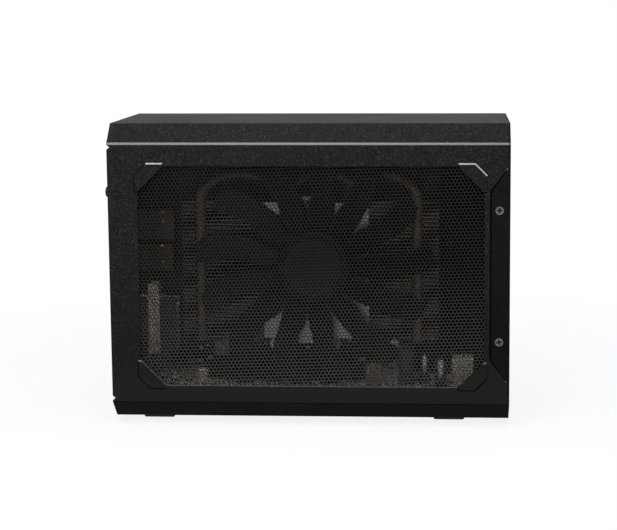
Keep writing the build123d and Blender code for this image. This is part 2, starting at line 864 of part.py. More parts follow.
# Mains inlet: flange on the rear wall, hollow body, three flat pins
with BuildPart() as power_inlet:
    face_x = supply_x - inlet_flange
    block(
        (face_x, supply_mid_y - inlet_width / 2 - inlet_rim, inlet_z - inlet_height / 2 - inlet_rim),
        (supply_x, supply_mid_y + inlet_width / 2 + inlet_rim, inlet_z + inlet_height / 2 + inlet_rim),
    )
    block(
        (supply_x, supply_mid_y - inlet_width / 2, inlet_z - inlet_height / 2),
        (supply_x + inlet_depth - inlet_flange, supply_mid_y + inlet_width / 2, inlet_z + inlet_height / 2),
    )
    with BuildSketch(Plane.YZ.offset(face_x)):
        Polygon(
            (supply_mid_y - recess_width / 2, inlet_z - recess_height / 2),
            (supply_mid_y + recess_width / 2, inlet_z - recess_height / 2),
            (supply_mid_y + recess_width / 2, inlet_z + recess_height / 2 - recess_cut),
            (supply_mid_y + recess_width / 2 - recess_cut, inlet_z + recess_height / 2),
            (supply_mid_y - recess_width / 2 + recess_cut, inlet_z + recess_height / 2),
            (supply_mid_y - recess_width / 2, inlet_z + recess_height / 2 - recess_cut),
            align=None,
        )
    extrude(amount=recess_depth, mode=Mode.SUBTRACT)
    pin_end = face_x + recess_depth
    for y, z in ((-pin_spread / 2, -pin_step / 2), (0, pin_step / 2), (pin_spread / 2, -pin_step / 2)):
        block(
            (pin_end - pin_length, supply_mid_y + y - pin_thickness / 2, inlet_z + z - pin_height / 2),
            (pin_end, supply_mid_y + y + pin_thickness / 2, inlet_z + z + pin_height / 2),
        )
power_inlet.part.label = "power_inlet"
export_step(power_inlet.part, "parts/power_inlet.step")

# Docking board on its standoffs
with BuildPart() as docking_board:
    block((board_x, -board_half, board_z), (board_end, board_half, board_top))
docking_board.part.label = "docking_board"
export_step(docking_board.part, "parts/docking_board.step")

with BuildPart() as board_standoffs:
    with BuildSketch(Plane.XY.offset(z_in + tray_sheet)):
        with Locations(*standoff_spots):
            RegularPolygon(standoff_radius, 6)
    extrude(amount=board_rise)
board_standoffs.part.label = "board_standoffs"
export_step(board_standoffs.part, "parts/board_standoffs.step")

with BuildPart() as board_screws:
    with BuildSketch(Plane.XY.offset(board_top)):
        with Locations(*standoff_spots):
            RegularPolygon(pan_head_radius, head_sides)
    extrude(amount=pan_head_height)
board_screws.part.label = "board_screws"
export_step(board_screws.part, "parts/board_screws.step")

# Card slot with its groove
with BuildPart() as card_slot:
    block(
        (slot_x, card_middle - slot_width / 2, board_top),
        (slot_end, card_middle + slot_width / 2, board_top + slot_height),
    )
    block(
        (slot_x + slot_wall, card_y - card_fit, slot_bottom),
        (slot_end - slot_wall, card_back + card_fit, board_top + slot_height),
        mode=Mode.SUBTRACT,
    )
card_slot.part.label = "card_slot"
export_step(card_slot.part, "parts/card_slot.step")

# Two double data ports: metal shells with two openings and their tongues
with BuildPart() as data_ports:
    for y in port_spots:
        front_x = x_rear + sheet - port_proud
        block(
            (front_x, y - port_width / 2, board_top),
            (front_x + port_depth, y + port_width / 2, board_top + port_height),
        )
        for level in (board_top + 0.26 * port_height, board_top + 0.74 * port_height):
            block(
                (front_x, y - port_width / 2 + port_shell, level - port_opening / 2),
                (front_x + port_opening_depth, y + port_width / 2 - port_shell, level + port_opening / 2),
                mode=Mode.SUBTRACT,
            )
            block(
                (front_x + port_proud, y - port_tongue / 2, level),
                (front_x + port_opening_depth, y + port_tongue / 2, level + port_tongue_sheet),
            )
data_ports.part.label = "data_ports"
export_step(data_ports.part, "parts/data_ports.step")

# Link port: oval metal shell with a thin tongue
with BuildPart() as link_port:
    with BuildSketch(Plane.YZ.offset(x_rear + sheet - port_proud)):
        with Locations((link_y, board_top + link_height / 2)):
            SlotOverall(link_width, link_height)
            SlotOverall(link_width - 2 * link_shell, link_height - 2 * link_shell, mode=Mode.SUBTRACT)
            Rectangle(link_tongue, link_tongue_sheet)
    extrude(amount=link_depth)
    with BuildSketch(Plane.YZ.offset(x_rear + sheet - port_proud + link_depth)):
        with Locations((link_y, board_top + link_height / 2)):
            SlotOverall(link_width, link_height)
    extrude(amount=-2 * link_shell)
link_port.part.label = "link_port"
export_step(link_port.part, "parts/link_port.step")

# Upright capacitors on the docking board
with BuildPart() as board_capacitors:
    for front, side, radius, tall in zip(can_from_front, can_from_side, can_radius, can_height):
        with BuildSketch(Plane.XY.offset(board_top)):
            with Locations((board_end - front, -board_half + side)):
                RegularPolygon(radius, 16)
        extrude(amount=tall)
board_capacitors.part.label = "board_capacitors"
export_step(board_capacitors.part, "parts/board_capacitors.step")

# Power chokes on the docking board
with BuildPart() as board_chokes:
    with BuildSketch(Plane.XY.offset(board_top)):
        with Locations((fan_x - board_choke_offset, -board_half + board_choke_from_side)):
            with GridLocations(board_choke_step, board_choke_step, 4, 1):
                Rectangle(board_choke, board_choke)
    extrude(amount=board_choke_height)
board_chokes.part.label = "board_chokes"
export_step(board_chokes.part, "parts/board_chokes.step")

# Heat sink on the docking board's controller, under the supply shelf
sink_low_y = card_middle + slot_width / 2 + sink_from_slot
sink_high_y = board_half - sink_from_side
sink_width = sink_high_y - sink_low_y
sink_step = (sink_width - 2 * sink_edge) / (sink_fins - 1)
sink_place = (x_rear + sink_from_rear, (sink_low_y + sink_high_y) / 2)
with BuildPart() as board_heatsink:
    with BuildSketch(Plane.XY.offset(board_top)):
        with Locations(sink_place):
            Rectangle(sink_length, sink_width)
    extrude(amount=sink_base)
    with BuildSketch(Plane.XY.offset(board_top + sink_base)):
        with Locations(sink_place):
            with GridLocations(sink_step, sink_step, 1, sink_fins):
                Rectangle(sink_length, sink_fin)
    extrude(amount=sink_height - sink_base)
board_heatsink.part.label = "board_heatsink"
export_step(board_heatsink.part, "parts/board_heatsink.step")

# Pin headers near the near edge of the docking board
header_y = -board_half + header_from_side
with BuildPart() as board_headers:
    for middle_x, (long, wide, tall) in (
        (x_rear + rear_header_from_rear, rear_header),
        (board_end - front_header_from_front, front_header),
    ):
        block(
            (middle_x - long / 2, header_y - wide / 2, board_top),
            (middle_x + long / 2, header_y + wide / 2, board_top + tall),
        )
board_headers.part.label = "board_headers"
export_step(board_headers.part, "parts/board_headers.step")

# Power socket of the docking board: a pale block with a row of square pin chambers open at the top
board_socket_x = board_end - board_socket_from_front
board_socket_y = -board_half + board_socket_from_side
board_socket_top = board_top + board_socket_height
with BuildPart() as board_power_socket:
    block(
        (board_socket_x - board_socket_length / 2, board_socket_y - board_socket_width / 2, board_top),
        (board_socket_x + board_socket_length / 2, board_socket_y + board_socket_width / 2, board_socket_top),
    )
    with BuildSketch(Plane.XY.offset(board_socket_top)):
        with Locations((board_socket_x, board_socket_y)):
            with GridLocations(chamber_step, chamber_step, 2, 2):
                Rectangle(chamber, chamber)
    extrude(amount=-chamber_depth, mode=Mode.SUBTRACT)
board_power_socket.part.label = "board_power_socket"
export_step(board_power_socket.part, "parts/board_power_socket.step")

# Graphics card: circuit board with the contact edge in the slot
with BuildPart() as card_board:
    with BuildSketch(Plane.XZ.offset(-card_back)):
        with Locations(((card_x + card_end) / 2, (card_low + card_top) / 2)):
            Rectangle(card_length, card_height)
        with Locations(((slot_x + slot_end) / 2, (slot_bottom + card_low) / 2)):
            Rectangle(slot_length - 2 * slot_wall - 2 * contact_gap, card_low - slot_bottom)
        with Locations((slot_x + slot_wall + slot_height, slot_bottom)):
            Rectangle(2 * contact_gap, 1.4 * slot_height, mode=Mode.SUBTRACT)
    extrude(amount=card_sheet)
card_board.part.label = "card_board"
export_step(card_board.part, "parts/card_board.step")

# Bracket of the card: plate on the rear panel, air slots, socket openings and two tabs behind the card
bracket_end = x_in + bracket_sheet
with BuildPart() as card_bracket:
    block((x_in, bracket_low_y, bracket_low_z), (bracket_end, bracket_high_y, bracket_high_z))
    for middle, half, tall, reach in (upper_socket, middle_socket, lower_socket):
        block(
            (x_in, card_y - tall - socket_fit, z_base + middle - half - socket_fit),
            (bracket_end, card_y, z_base + middle + half + socket_fit),
            mode=Mode.SUBTRACT,
        )
    with BuildSketch(Plane.YZ.offset(x_in)):
        with Locations((bracket_low_y + bracket_slot_side, (bracket_low_z + bracket_high_z) / 2)):
            with GridLocations(bracket_slot_step, bracket_slot_step, 1, 11):
                Rectangle(bracket_slot_width, bracket_slot_height)
    extrude(amount=bracket_sheet, mode=Mode.SUBTRACT)
    for rise in bracket_tab_rise:
        block(
            (x_in, card_back, z_base + rise),
            (bracket_end + bracket_tab, card_back + bracket_sheet, z_base + rise + bracket_tab),
        )
card_bracket.part.label = "card_bracket"
export_step(card_bracket.part, "parts/card_bracket.step")

with BuildPart() as bracket_screws:
    with BuildSketch(Plane.YZ.offset(x_rear + sheet - pan_head_height)):
        with Locations(*[(bracket_screw_y, level) for level in bracket_screw_levels]):
            RegularPolygon(pan_head_radius, head_sides)
    extrude(amount=pan_head_height)
bracket_screws.part.label = "bracket_screws"
export_step(bracket_screws.part, "parts/bracket_screws.step")

# Flat video sockets: shell on the card, opening toward the rear, tongue inside
socket_face = x_rear + sheet + socket_set
tongue_x = socket_face + socket_tongue_set
with BuildPart() as video_socket_upper:
    middle, half, tall, reach = upper_socket
    level = z_base + middle
    block((socket_face, card_y - tall, level - half), (socket_face + reach, card_y, level + half))
    block(
        (socket_face, card_y - tall + socket_wall, level - half + socket_wall),
        (socket_face + socket_mouth, card_y - socket_wall, level + half - socket_wall),
        mode=Mode.SUBTRACT,
    )
    block(
        (tongue_x, card_y - (tall + upper_tongue) / 2, level - half + upper_tongue_inset),
        (socket_face + socket_mouth, card_y - (tall - upper_tongue) / 2, level + half - upper_tongue_inset),
    )
video_socket_upper.part.label = "video_socket_upper"
export_step(video_socket_upper.part, "parts/video_socket_upper.step")

with BuildPart() as video_socket_middle:
    middle, half, tall, reach = middle_socket
    level = z_base + middle
    block((socket_face, card_y - tall, level - half), (socket_face + reach, card_y, level + half))
    block(
        (socket_face, card_y - tall + socket_wall, level - half + socket_wall),
        (socket_face + socket_mouth, card_y - socket_wall, level + half - socket_wall),
        mode=Mode.SUBTRACT,
    )
    block(
        (tongue_x, card_y - (tall + middle_tongue) / 2, level - half + middle_tongue_inset),
        (socket_face + socket_mouth, card_y - (tall - middle_tongue) / 2, level + half - middle_tongue_inset),
    )
video_socket_middle.part.label = "video_socket_middle"
export_step(video_socket_middle.part, "parts/video_socket_middle.step")

# Wide video socket: metal shell at the bracket and the pale insulator behind it
with BuildPart() as video_socket_lower:
    middle, half, tall, reach = lower_socket
    level = z_base + middle
    block((socket_face, card_y - tall, level - half), (socket_face + reach, card_y, level + half))
    block(
        (socket_face, card_y - tall + socket_wall, level - half + socket_wall),
        (socket_face + lower_mouth, card_y - socket_wall, level + half - socket_wall),
        mode=Mode.SUBTRACT,
    )
    block(
        (socket_face + lower_core_set, card_y - tall + lower_core_inset, level - half + lower_core_inset),
        (socket_face + lower_mouth, card_y - lower_core_inset, level + half - lower_core_inset),
    )
video_socket_lower.part.label = "video_socket_lower"
export_step(video_socket_lower.part, "parts/video_socket_lower.step")

with BuildPart() as video_socket_body:
    middle, half, tall, reach = lower_socket
    level = z_base + middle
    block(
        (socket_face + reach, card_y - tall + lower_body_drop, level - lower_body_half),
        (socket_face + reach + lower_body_length, card_y, level + lower_body_half),
    )
    step_x = socket_face + reach + lower_body_length
    step_half = lower_body_half - lower_step_inset
    block(
        (step_x, card_y - lower_step_depth, level - step_half),
        (step_x + lower_step_length, card_y, level + step_half),
    )
video_socket_body.part.label = "video_socket_body"
export_step(video_socket_body.part, "parts/video_socket_body.step")

# Graphics chip with its die under the cooler base
chip_z = (fin_low_z + fin_high_z) / 2
with BuildPart() as graphics_chip:
    with BuildSketch(Plane.XZ.offset(-card_y)):
        with Locations((fan_x, chip_z)):
            Rectangle(chip_size, chip_size)
    extrude(amount=chip_sheet)
    with BuildSketch(Plane.XZ.offset(-card_y + chip_sheet)):
        with Locations((fan_x, chip_z)):
            Rectangle(die_size, die_size)
    extrude(amount=die_sheet)
graphics_chip.part.label = "graphics_chip"
export_step(graphics_chip.part, "parts/graphics_chip.step")

# Memory chips round the graphics chip
with BuildPart() as memory_chips:
    with BuildSketch(Plane.XZ.offset(-card_y)):
        with Locations((fan_x, chip_z)):
            with GridLocations(memory_spread, memory_step, 2, 3):
                Rectangle(memory_length, memory_height)
    extrude(amount=chip_sheet)
memory_chips.part.label = "memory_chips"
export_step(memory_chips.part, "parts/memory_chips.step")

# Chokes on the card: a row near the front end and one below the fins
with BuildPart() as card_chokes:
    with BuildSketch(Plane.XZ.offset(-card_y)):
        with Locations((card_end - card_choke_from_end, chip_z)):
            with GridLocations(card_choke_step, card_choke_step, 1, 5):
                Rectangle(card_choke_width, card_choke_height)
        with Locations((fin_low_x + low_choke_from_fins, fin_low_z - low_choke_drop)):
            Rectangle(card_choke_width, card_choke_height)
    extrude(amount=card_choke_depth)
card_chokes.part.label = "card_chokes"
export_step(card_chokes.part, "parts/card_chokes.step")

# Capacitors on the card below the fins
with BuildPart() as card_capacitors:
    with BuildSketch(Plane.XZ.offset(-card_y)):
        for x in card_can_places:
            with Locations((fan_x + x, fin_low_z - card_can_drop)):
                RegularPolygon(card_can_radius, 16)
    extrude(amount=card_can_depth)
card_capacitors.part.label = "card_capacitors"
export_step(card_capacitors.part, "parts/card_capacitors.step")

# Backplate of the card on short posts
with BuildPart() as card_backplate:
    plate_x = card_x + backplate_rear
    plate_end = card_end - backplate_edge
    plate_low = card_low + backplate_edge
    plate_top = card_top - backplate_edge
    block((plate_x, plate_y, plate_low), (plate_end, plate_y + backplate_sheet, plate_top))
    with BuildSketch(Plane.XZ.offset(-plate_y)):
        for x in (plate_x + backplate_post_inset, plate_end - backplate_post_inset):
            with Locations((x, plate_low + backplate_post_inset), (x, plate_top - backplate_post_inset)):
                RegularPolygon(backplate_post, 6)
    extrude(amount=backplate_gap)
card_backplate.part.label = "card_backplate"
export_step(card_backplate.part, "parts/card_backplate.step")

# Power socket of the card, open toward the front, with two rows of square pin chambers
card_socket_z = card_top - card_socket_drop
card_socket_end = card_end + card_socket_proud
card_socket_y = card_y - card_socket_depth / 2
card_socket_half = card_socket_height / 2
with BuildPart() as card_power_socket:
    block(
        (card_socket_end - card_socket_length, card_y - card_socket_depth, card_socket_z - card_socket_half),
        (card_socket_end, card_y, card_socket_z + card_socket_half),
    )
    with BuildSketch(Plane.YZ.offset(card_socket_end)):
        with Locations((card_socket_y, card_socket_z)):
            with GridLocations(chamber_step, chamber_step, 2, 3):
                Rectangle(chamber, chamber)
    extrude(amount=-chamber_depth, mode=Mode.SUBTRACT)
card_power_socket.part.label = "card_power_socket"
export_step(card_power_socket.part, "parts/card_power_socket.step")

# Cooler base: block on the die with a half-round groove for each heat pipe
pipe_low = fin_low_z + pipe_radius / 3
pipe_inner_y = base_front
pipe_outer_y = fin_front + pipe_radius
arch_z = fin_high_z + pipe_clear + pipe_bend
outer_legs = (fin_low_x + outer_rear_inset - fan_x, outer_middle, fin_high_x - outer_front_inset - fan_x)
pipes = tuple(zip(inner_legs, outer_legs))


def pipe_plane(inner, outer):
    """Upright plane through both legs of a heat pipe, its origin midway between them at the arch."""
    start = Vector(fan_x + inner, pipe_inner_y, arch_z)
    end = Vector(fan_x + outer, pipe_outer_y, arch_z)
    along = (end - start).normalized()
    return Plane(origin=(start + end) * 0.5, x_dir=along, z_dir=along.cross(Vector(0, 0, 1)))


def pipe_half(inner, outer):
    """Half the distance between the legs of a heat pipe."""
    return sqrt((outer - inner) ** 2 + (pipe_outer_y - pipe_inner_y) ** 2) / 2


def pipe_angle(inner, outer):
    """Direction from the inner to the outer leg of a heat pipe, seen from above, in degrees."""
    return degrees(atan2(pipe_outer_y - pipe_inner_y, outer - inner))


with BuildPart() as cooler_base:
    block(
        (fan_x - base_rear, base_front, fin_low_z),
        (fan_x - base_rear + base_length, base_back, fin_high_z),
    )
    with BuildSketch(Plane.XY.offset(pipe_low)):
        for inner, outer in pipes:
            with Locations((fan_x + inner, pipe_inner_y)):
                RegularPolygon(pipe_radius, pipe_sides, rotation=pipe_angle(inner, outer))
    extrude(amount=fin_high_z - pipe_low, mode=Mode.SUBTRACT)
cooler_base.part.label = "cooler_base"
export_step(cooler_base.part, "parts/cooler_base.step")

# Fin stack: level plates on a common back, grooved for the inner legs and notched for the outer legs
fin_step = (fin_span - fin_sheet) / (fin_count - 1)
fin_levels = [fin_low_z + number * fin_step for number in range(fin_count)]
with BuildPart() as fin_stack:
    with BuildSketch(Plane.XY.offset(fin_low_z)):
        with Locations(((fin_low_x + fin_high_x) / 2, (fin_root + base_front) / 2)):
            Rectangle(fin_length, fin_base)
    extrude(amount=fin_span)
    with BuildSketch(Plane.XY.offset(pipe_low)):
        for inner, outer in pipes:
            with Locations((fan_x + inner, pipe_inner_y)):
                RegularPolygon(pipe_radius, pipe_sides, rotation=pipe_angle(inner, outer))
    extrude(amount=fin_high_z - pipe_low, mode=Mode.SUBTRACT)
    with BuildSketch(*[Plane.XY.offset(level) for level in fin_levels]):
        with Locations(((fin_low_x + fin_high_x) / 2, (fin_front + fin_root) / 2)):
            Rectangle(fin_length, fin_reach)
        for inner, outer in pipes:
            with Locations((fan_x + outer, pipe_outer_y)):
                RegularPolygon(pipe_radius, pipe_sides, rotation=pipe_angle(inner, outer), mode=Mode.SUBTRACT)
            with Locations((fan_x + outer, fin_front + pipe_radius / 2)):
                Rectangle(2 * pipe_radius, pipe_radius, mode=Mode.SUBTRACT)
    extrude(amount=fin_sheet)
fin_stack.part.label = "fin_stack"
export_step(fin_stack.part, "parts/fin_stack.step")

# Heat pipes: inner leg in the base, rounded arch over the fins, outer leg in the notches of the fins
with BuildPart() as heat_pipe_rear:
    half = pipe_half(*pipes[0])
    with BuildLine(pipe_plane(*pipes[0])):
        FilletPolyline(
            (-half, pipe_low - arch_z),
            (-half, 0),
            (half, 0),
            (half, fin_low_z - pipe_tail - arch_z),
            radius=pipe_bend,
        )
    with BuildSketch(Plane.XY.offset(pipe_low)):
        with Locations((fan_x + inner_legs[0], pipe_inner_y)):
            RegularPolygon(pipe_radius, pipe_sides, rotation=pipe_angle(*pipes[0]))
    sweep()
    chamfer(heat_pipe_rear.faces().sort_by(Axis.Z)[0].edges(), length=pipe_point)
heat_pipe_rear.part.label = "heat_pipe_rear"
export_step(heat_pipe_rear.part, "parts/heat_pipe_rear.step")

with BuildPart() as heat_pipe_middle:
    half = pipe_half(*pipes[1])
    with BuildLine(pipe_plane(*pipes[1])):
        FilletPolyline(
            (-half, pipe_low - arch_z),
            (-half, 0),
            (half, 0),
            (half, fin_low_z - pipe_tail - arch_z),
            radius=pipe_bend,
        )
    with BuildSketch(Plane.XY.offset(pipe_low)):
        with Locations((fan_x + inner_legs[1], pipe_inner_y)):
            RegularPolygon(pipe_radius, pipe_sides, rotation=pipe_angle(*pipes[1]))
    sweep()
    chamfer(heat_pipe_middle.faces().sort_by(Axis.Z)[0].edges(), length=pipe_point)
heat_pipe_middle.part.label = "heat_pipe_middle"
export_step(heat_pipe_middle.part, "parts/heat_pipe_middle.step")

with BuildPart() as heat_pipe_front:
    half = pipe_half(*pipes[2])
    with BuildLine(pipe_plane(*pipes[2])):
        FilletPolyline(
            (-half, pipe_low - arch_z),
            (-half, 0),
            (half, 0),
            (half, fin_low_z - pipe_tail - arch_z),
            radius=pipe_bend,
        )
    with BuildSketch(Plane.XY.offset(pipe_low)):
        with Locations((fan_x + inner_legs[2], pipe_inner_y)):
            RegularPolygon(pipe_radius, pipe_sides, rotation=pipe_angle(*pipes[2]))
    sweep()
    chamfer(heat_pipe_front.faces().sort_by(Axis.Z)[0].edges(), length=pipe_point)
heat_pipe_front.part.label = "heat_pipe_front"
export_step(heat_pipe_front.part, "parts/heat_pipe_front.step")

# Fan mount: bright plate on the fins
mount_front = mount_back - mount_sheet
with BuildPart() as fan_mount:
    block(
        (fan_x - base_rear, mount_front, fin_low_z),
        (fan_x - base_rear + base_length, mount_back, fin_high_z),
    )
fan_mount.part.label = "fan_mount"
export_step(fan_mount.part, "parts/fan_mount.step")

# Fan stator: disc on the mount and bearing with a bore for the shaft
stator_front = mount_front - stator_sheet
hub_back = stator_front - hub_gap
hub_floor = fan_front + hub_wall
with BuildPart() as fan_stator:
    with BuildSketch(Plane.XZ.offset(-mount_front)):
        with Locations((fan_x, fan_z)):
            RegularPolygon(stator_radius, cup_sides)
    extrude(amount=stator_sheet)
    bar_y(hub_floor + 0.8, stator_front, fan_x, fan_z, bearing_radius)
    bar_y(hub_floor, mount_front - 1.0, fan_x, fan_z, shaft_radius + shaft_play, mode=Mode.SUBTRACT)
fan_stator.part.label = "fan_stator"
export_step(fan_stator.part, "parts/fan_stator.step")

# One fan blade: a swept plate, tilted so that its leading edge is in front
blade_inner = hub_radius - 0.8
blade_mid_y = (fan_front + mount_front) / 2
blade_angle = radians(blade_turn)
blade_slant = radians(blade_tilt)
blade_plane = Plane(
    origin=(fan_x, blade_mid_y, fan_z),
    x_dir=(cos(blade_angle), 0, sin(blade_angle)),
    z_dir=(
        sin(blade_angle) * sin(blade_slant),
        -cos(blade_slant),
        -cos(blade_angle) * sin(blade_slant),
    ),
)
leading_edge = []
trailing_edge = []
for number, (offset, chord) in enumerate(blade_stations):
    radius = blade_inner + (fan_radius - blade_inner) * number / (len(blade_stations) - 1)
    leading_edge.append((radius, (offset + chord / 2) / cos(blade_slant)))
    trailing_edge.append((radius, (offset - chord / 2) / cos(blade_slant)))
with BuildPart() as fan_blade:
    with BuildSketch(blade_plane):
        Polygon(*trailing_edge, *reversed(leading_edge), align=None)
    extrude(amount=blade_sheet / 2, both=True)

# Fan rotor: cup hub, shaft in the bearing and thirteen swept blades
fan_axis = Axis((fan_x, 0, fan_z), (0, -1, 0))
with BuildPart() as fan_rotor:
    with BuildSketch(Plane.XZ.offset(-hub_back)):
        with Locations((fan_x, fan_z)):
            RegularPolygon(hub_radius, cup_sides)
    extrude(amount=hub_back - fan_front)
    with BuildSketch(Plane.XZ.offset(-hub_back)):
        with Locations((fan_x, fan_z)):
            RegularPolygon(hub_radius - hub_wall, cup_sides)
    extrude(amount=hub_back - hub_floor, mode=Mode.SUBTRACT)
    bar_y(hub_floor, mount_front - 1.6, fan_x, fan_z, shaft_radius)
    for turn in range(blade_count):
        add(fan_blade.part.rotate(fan_axis, turn * 360 / blade_count))
fan_rotor.part.label = "fan_rotor"
export_step(fan_rotor.part, "parts/fan_rotor.step")
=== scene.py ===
"""Looks of an external graphics card enclosure: paint, perforated plates, cooler, boards and studio."""

import json
import math
import random

import bmesh
import bpy
from mathutils import Matrix, Vector


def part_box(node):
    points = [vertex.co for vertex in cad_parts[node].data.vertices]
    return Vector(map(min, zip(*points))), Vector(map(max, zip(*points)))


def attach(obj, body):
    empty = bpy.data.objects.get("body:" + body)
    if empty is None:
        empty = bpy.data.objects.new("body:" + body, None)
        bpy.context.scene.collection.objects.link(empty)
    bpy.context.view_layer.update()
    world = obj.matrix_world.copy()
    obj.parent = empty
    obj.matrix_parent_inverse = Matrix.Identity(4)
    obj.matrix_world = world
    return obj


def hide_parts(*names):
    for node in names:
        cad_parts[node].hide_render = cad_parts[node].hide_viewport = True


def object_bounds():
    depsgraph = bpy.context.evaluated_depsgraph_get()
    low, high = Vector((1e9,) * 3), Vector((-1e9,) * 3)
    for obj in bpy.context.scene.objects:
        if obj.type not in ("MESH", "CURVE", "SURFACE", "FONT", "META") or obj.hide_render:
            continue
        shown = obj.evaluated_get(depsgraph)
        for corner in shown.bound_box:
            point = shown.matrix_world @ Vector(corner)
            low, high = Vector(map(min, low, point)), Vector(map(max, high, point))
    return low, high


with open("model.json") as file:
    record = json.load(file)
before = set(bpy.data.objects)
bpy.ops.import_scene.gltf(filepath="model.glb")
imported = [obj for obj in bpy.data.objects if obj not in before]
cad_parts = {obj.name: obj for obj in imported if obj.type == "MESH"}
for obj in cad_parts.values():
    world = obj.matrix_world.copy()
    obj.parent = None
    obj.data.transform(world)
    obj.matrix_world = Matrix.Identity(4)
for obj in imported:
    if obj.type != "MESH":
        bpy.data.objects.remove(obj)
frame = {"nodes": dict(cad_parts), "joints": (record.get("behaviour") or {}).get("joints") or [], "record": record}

bl_info = {
    "name": "Graphics card enclosure",
    "version": (1, 0, 0),
    "blender": (4, 5, 0),
    "location": "3D View > Sidebar > Enclosure",
    "description": "Finishes and fine pieces of an external graphics card enclosure",
    "category": "Object",
}

cad_low, cad_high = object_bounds()
nodes = frame["nodes"]
record = frame["record"]
finishes = {}
MM = 0.001


def box(node):
    """Lowest and highest corner of a node in millimetres."""
    low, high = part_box(node)
    return low / MM, high / MM


def solid_boxes(node):
    """Boxes in millimetres of the separate solids of a node."""
    work = bmesh.new()
    work.from_mesh(nodes[node].data)
    bmesh.ops.remove_doubles(work, verts=work.verts, dist=1e-6)
    seen = set()
    boxes = []
    for start in work.verts:
        if start in seen:
            continue
        seen.add(start)
        front = [start]
        island = []
        while front:
            vert = front.pop()
            island.append(vert.co / MM)
            for edge in vert.link_edges:
                other = edge.other_vert(vert)
                if other not in seen:
                    seen.add(other)
                    front.append(other)
        low = [min(point[axis] for point in island) for axis in range(3)]
        high = [max(point[axis] for point in island) for axis in range(3)]
        boxes.append((Vector(low), Vector(high)))
    work.free()
    return boxes


# Sizes and colours that a user would change


class CasePaint(bpy.types.PropertyGroup):
    """Powder coat of the steel case"""

    colour: bpy.props.FloatVectorProperty(
        name="Colour", description="Colour of the powder coat", subtype="COLOR", size=3, min=0, max=1,
        default=(0.0135, 0.0132, 0.0128),
    )
    roughness: bpy.props.FloatProperty(
        name="Roughness", description="Gloss of the coat, 0 is polished", subtype="FACTOR", min=0, max=1,
        default=0.5,
    )
    grain: bpy.props.FloatProperty(
        name="Grain", description="Size of the coat's grain", unit="LENGTH", min=0.0001, precision=5,
        default=0.0005,
    )


class SideMesh(bpy.types.PropertyGroup):
    """Perforated plates behind the two windows"""

    pitch: bpy.props.FloatProperty(
        name="Pitch", description="Distance between hole centres", unit="LENGTH", default=0.002, precision=5
    )
    hole: bpy.props.FloatProperty(
        name="Hole", description="Hole size from flat to flat", unit="LENGTH", default=0.00156, precision=5
    )
    tilt: bpy.props.FloatProperty(
        name="Tilt", description="Rise of the hole rows toward the front", unit="ROTATION",
        default=math.radians(2),
    )


class CoolerFan(bpy.types.PropertyGroup):
    """Fan of the card's cooler"""

    colour: bpy.props.FloatVectorProperty(
        name="Colour", description="Colour of the fan plastic", subtype="COLOR", size=3, min=0, max=1,
        default=(0.006, 0.0059, 0.0058),
    )
    thickness: bpy.props.FloatProperty(
        name="Blade thickness", description="Thickness in the middle of a blade", unit="LENGTH",
        default=0.0011, precision=5,
    )
    ribs: bpy.props.IntProperty(
        name="Ribs", description="Fine ribs along each blade", default=4, min=0, max=8
    )


class Cooler(bpy.types.PropertyGroup):
    """Fin stack and heat pipes of the card"""

    fins: bpy.props.IntProperty(
        name="Fins", description="Number of fins in the stack", default=38, min=8, max=60
    )
    sheet: bpy.props.FloatProperty(
        name="Fin sheet", description="Thickness of a fin", unit="LENGTH", default=0.0004, precision=5
    )
    copper: bpy.props.FloatVectorProperty(
        name="Pipe colour", description="Colour of the heat pipes", subtype="COLOR", size=3, min=0, max=1,
        default=(0.15, 0.117, 0.091),
    )


class Boards(bpy.types.PropertyGroup):
    """Circuit boards and the pieces on them"""

    laminate: bpy.props.FloatVectorProperty(
        name="Laminate", description="Colour of the circuit boards", subtype="COLOR", size=3, min=0, max=1,
        default=(0.012, 0.0115, 0.0105),
    )
    sleeve: bpy.props.FloatVectorProperty(
        name="Capacitor sleeve", description="Colour of the capacitor sleeves", subtype="COLOR", size=3,
        min=0, max=1, default=(0.05, 0.066, 0.095),
    )
    small_parts: bpy.props.IntProperty(
        name="Small parts", description="Small soldered parts on the docking board", default=420,
        min=0, max=600,
    )


class Studio(bpy.types.PropertyGroup):
    """Light and floor"""

    top_light: bpy.props.FloatProperty(
        name="Top light", description="Power of the overhead lamp", unit="POWER", default=9.0
    )
    front_light: bpy.props.FloatProperty(
        name="Front light", description="Power of the lamp in front", unit="POWER", default=2.0
    )
    side_light: bpy.props.FloatProperty(
        name="Side light", description="Power of the lamp at the upper right", unit="POWER", default=1.6
    )
    surround: bpy.props.FloatProperty(
        name="Surround", description="Level of the even light from all sides", subtype="FACTOR", default=0.26
    )


# Finishes


def set_inputs(tree, node, inputs):
    """Sets inputs of a shader node to values, or links them to the outputs of other nodes."""
    for name, value in inputs.items():
        if isinstance(value, bpy.types.NodeSocket):
            tree.links.new(value, node.inputs[name])
        else:
            node.inputs[name].default_value = value


def new_node(tree, kind, inputs, **settings):
    """A shader node with its settings and inputs."""
    node = tree.nodes.new(kind)
    for name, value in settings.items():
        setattr(node, name, value)
    set_inputs(tree, node, inputs)
    return node


def new_finish(name):
    """An empty finish: its node tree, its shader and the place on the piece."""
    material = bpy.data.materials.new(name)
    material.use_nodes = True
    tree = material.node_tree
    place = tree.nodes.new("ShaderNodeTexCoord").outputs["Object"]
    finishes[name] = material
    return tree, tree.nodes["Principled BSDF"], place


def mottle(tree, place, size, detail=2.0, harsh=0.5):
    """Soft random variation with features of a given size in metres."""
    inputs = {"Vector": place, "Scale": 1.0 / size, "Detail": detail, "Roughness": harsh}
    return new_node(tree, "ShaderNodeTexNoise", inputs).outputs[0]


